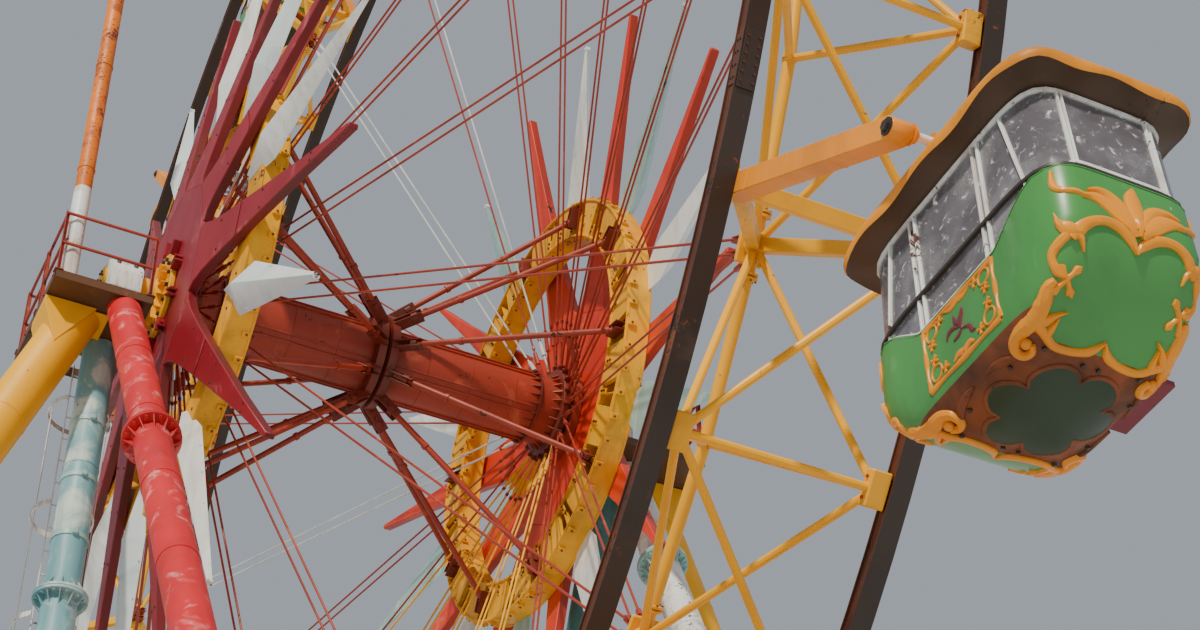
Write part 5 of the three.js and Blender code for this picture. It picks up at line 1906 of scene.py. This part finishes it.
class WHEEL_OT_rings(bpy.types.Operator):
    """The yellow rings with their folded spikes"""
    bl_idname = "wheel.rings"
    bl_label = "Rings"

    def execute(self, context):
        for side, name in zip(SIDES, ("left_ring", "right_ring")):
            second = "near_white" if side < 0 else "pale_teal"
            finishes = coats("worn_yellow", "white", second, "dark_terracotta", "rusty_white")
            finish_piece(f"{name}_look", ring_piece(side), finishes, "wheel",
                         (name,))
        return {"FINISHED"}


class WHEEL_OT_braces(bpy.types.Operator):
    """The tubes from the axle's middle to the rings"""
    bl_idname = "wheel.braces"
    bl_label = "Braces"

    def execute(self, context):
        for side, name in zip(SIDES, ("left_braces", "right_braces")):
            finish_piece(f"{name}_look", brace_piece(side), coats("terracotta", "dark_terracotta"),
                         "wheel", (name,))
        return {"FINISHED"}


class WHEEL_OT_rods(bpy.types.Operator):
    """The pairs of taut rods from the axle to the rim"""
    bl_idname = "wheel.rods"
    bl_label = "Stay rods"

    def execute(self, context):
        finishes = coats("terracotta", "dark_terracotta", "pale_rod", "yellow")
        rng = random.Random(11)
        for side, name in zip(SIDES, ("left_stay_rods", "right_stay_rods")):
            finish_piece(f"{name}_look", rod_piece(side, rng), finishes, "wheel",
                         (name,))
        return {"FINISHED"}


class WHEEL_OT_cabins(bpy.types.Operator):
    """Twenty cabins, green and red in turn"""
    bl_idname = "wheel.cabins"
    bl_label = "Cabins"

    def execute(self, context):
        template = cabin_template()
        for index in range(STATIONS):
            name = f"cabin_{index + 1:02d}"
            kind = ("green", "red")[index % 2]
            bm = bmesh.new()
            pin = HUB + place(PIVOT_RADIUS, 0, 0, station_angle(index))
            add_copies(bm, template, [Matrix.Translation(pin)])
            finish_piece(f"{name}_look", bm, cabin_finishes(kind), f"{name}_body",
                         (name,))
        bpy.data.meshes.remove(template)
        return {"FINISHED"}


class WHEEL_OT_legs(bpy.types.Operator):
    """The legs of both towers, with their flanges and feet"""
    bl_idname = "wheel.legs"
    bl_label = "Legs"

    def execute(self, context):
        for name, leg in LEGS.items():
            finish_piece(f"{name}_look", leg_piece(name), coats(leg[0], "dark_steel", "pale_teal"),
                         "towers", (name,))
        return {"FINISHED"}


class WHEEL_OT_decks(bpy.types.Operator):
    """The two decks with their railings and bearings"""
    bl_idname = "wheel.decks"
    bl_label = "Decks"

    def execute(self, context):
        for side, name in zip(SIDES, ("left", "right")):
            finish_piece(f"{name}_deck_look", deck_piece(side), coats("deck", "dark_steel"),
                         "towers", (f"{name}_deck",))
            finish_piece(f"{name}_railing_look", railing_piece(side),
                         coats("salmon", "dark_steel"), "towers",
                         (f"{name}_railing",))
            finish_piece(f"{name}_bearing_look", bearing_piece(side),
                         coats("rusty_white", "dark_steel"), "towers",
                         (f"{name}_bearing",))
        return {"FINISHED"}


class WHEEL_OT_ladder(bpy.types.Operator):
    """The ladder and its cage behind the column"""
    bl_idname = "wheel.ladder"
    bl_label = "Ladder"

    def execute(self, context):
        finish_piece("ladder_look", ladder_piece(), coats("rusty_white"), "towers",
                     ("ladder",))
        return {"FINISHED"}


class WHEEL_OT_pole(bpy.types.Operator):
    """The rusty lamp pole on the left deck"""
    bl_idname = "wheel.pole"
    bl_label = "Lamp pole"

    def execute(self, context):
        finish_piece("lamp_pole_look", pole_piece(),
                     coats("pole_orange", "rusty_white", "dark_steel"), "towers",
                     ("lamp_pole",))
        return {"FINISHED"}


class WHEEL_OT_stage(bpy.types.Operator):
    """The plain pale floor, the soft studio light and the camera"""
    bl_idname = "wheel.stage"
    bl_label = "Stage"

    def execute(self, context):
        light_stage()
        add_camera()
        return {"FINISHED"}


STEPS = (
    WHEEL_OT_rails, WHEEL_OT_lattice, WHEEL_OT_axle, WHEEL_OT_stars, WHEEL_OT_rings,
    WHEEL_OT_braces, WHEEL_OT_rods, WHEEL_OT_cabins, WHEEL_OT_legs, WHEEL_OT_decks,
    WHEEL_OT_ladder, WHEEL_OT_pole, WHEEL_OT_stage)


class WHEEL_PT_looks(bpy.types.Panel):
    """Lists the steps that dress the wheel"""
    bl_idname = "WHEEL_PT_looks"
    bl_label = "Ferris Wheel"
    bl_space_type = "VIEW_3D"
    bl_region_type = "UI"
    bl_category = "Ferris Wheel"

    def draw(self, context):
        column = self.layout.column()
        for settings in (context.scene.wheel_sizes, context.scene.wheel_paints):
            for title in settings.bl_rna.properties.keys():
                if title not in ("rna_type", "name"):
                    column.prop(settings, title)
        for made in STEPS:
            column.operator(made.bl_idname)


CLASSES = (WheelPaints, WheelSizes, *STEPS, WHEEL_PT_looks)


def register():
    for made in CLASSES:
        bpy.utils.register_class(made)
    bpy.types.Scene.wheel_paints = bpy.props.PointerProperty(type=WheelPaints)
    bpy.types.Scene.wheel_sizes = bpy.props.PointerProperty(type=WheelSizes)


def unregister():
    del bpy.types.Scene.wheel_sizes
    del bpy.types.Scene.wheel_paints
    for made in reversed(CLASSES):
        bpy.utils.unregister_class(made)


def main():
    register()
    for made in STEPS:
        getattr(bpy.ops.wheel, made.bl_idname.split(".")[1])()


if __name__ == "__main__":
    main()
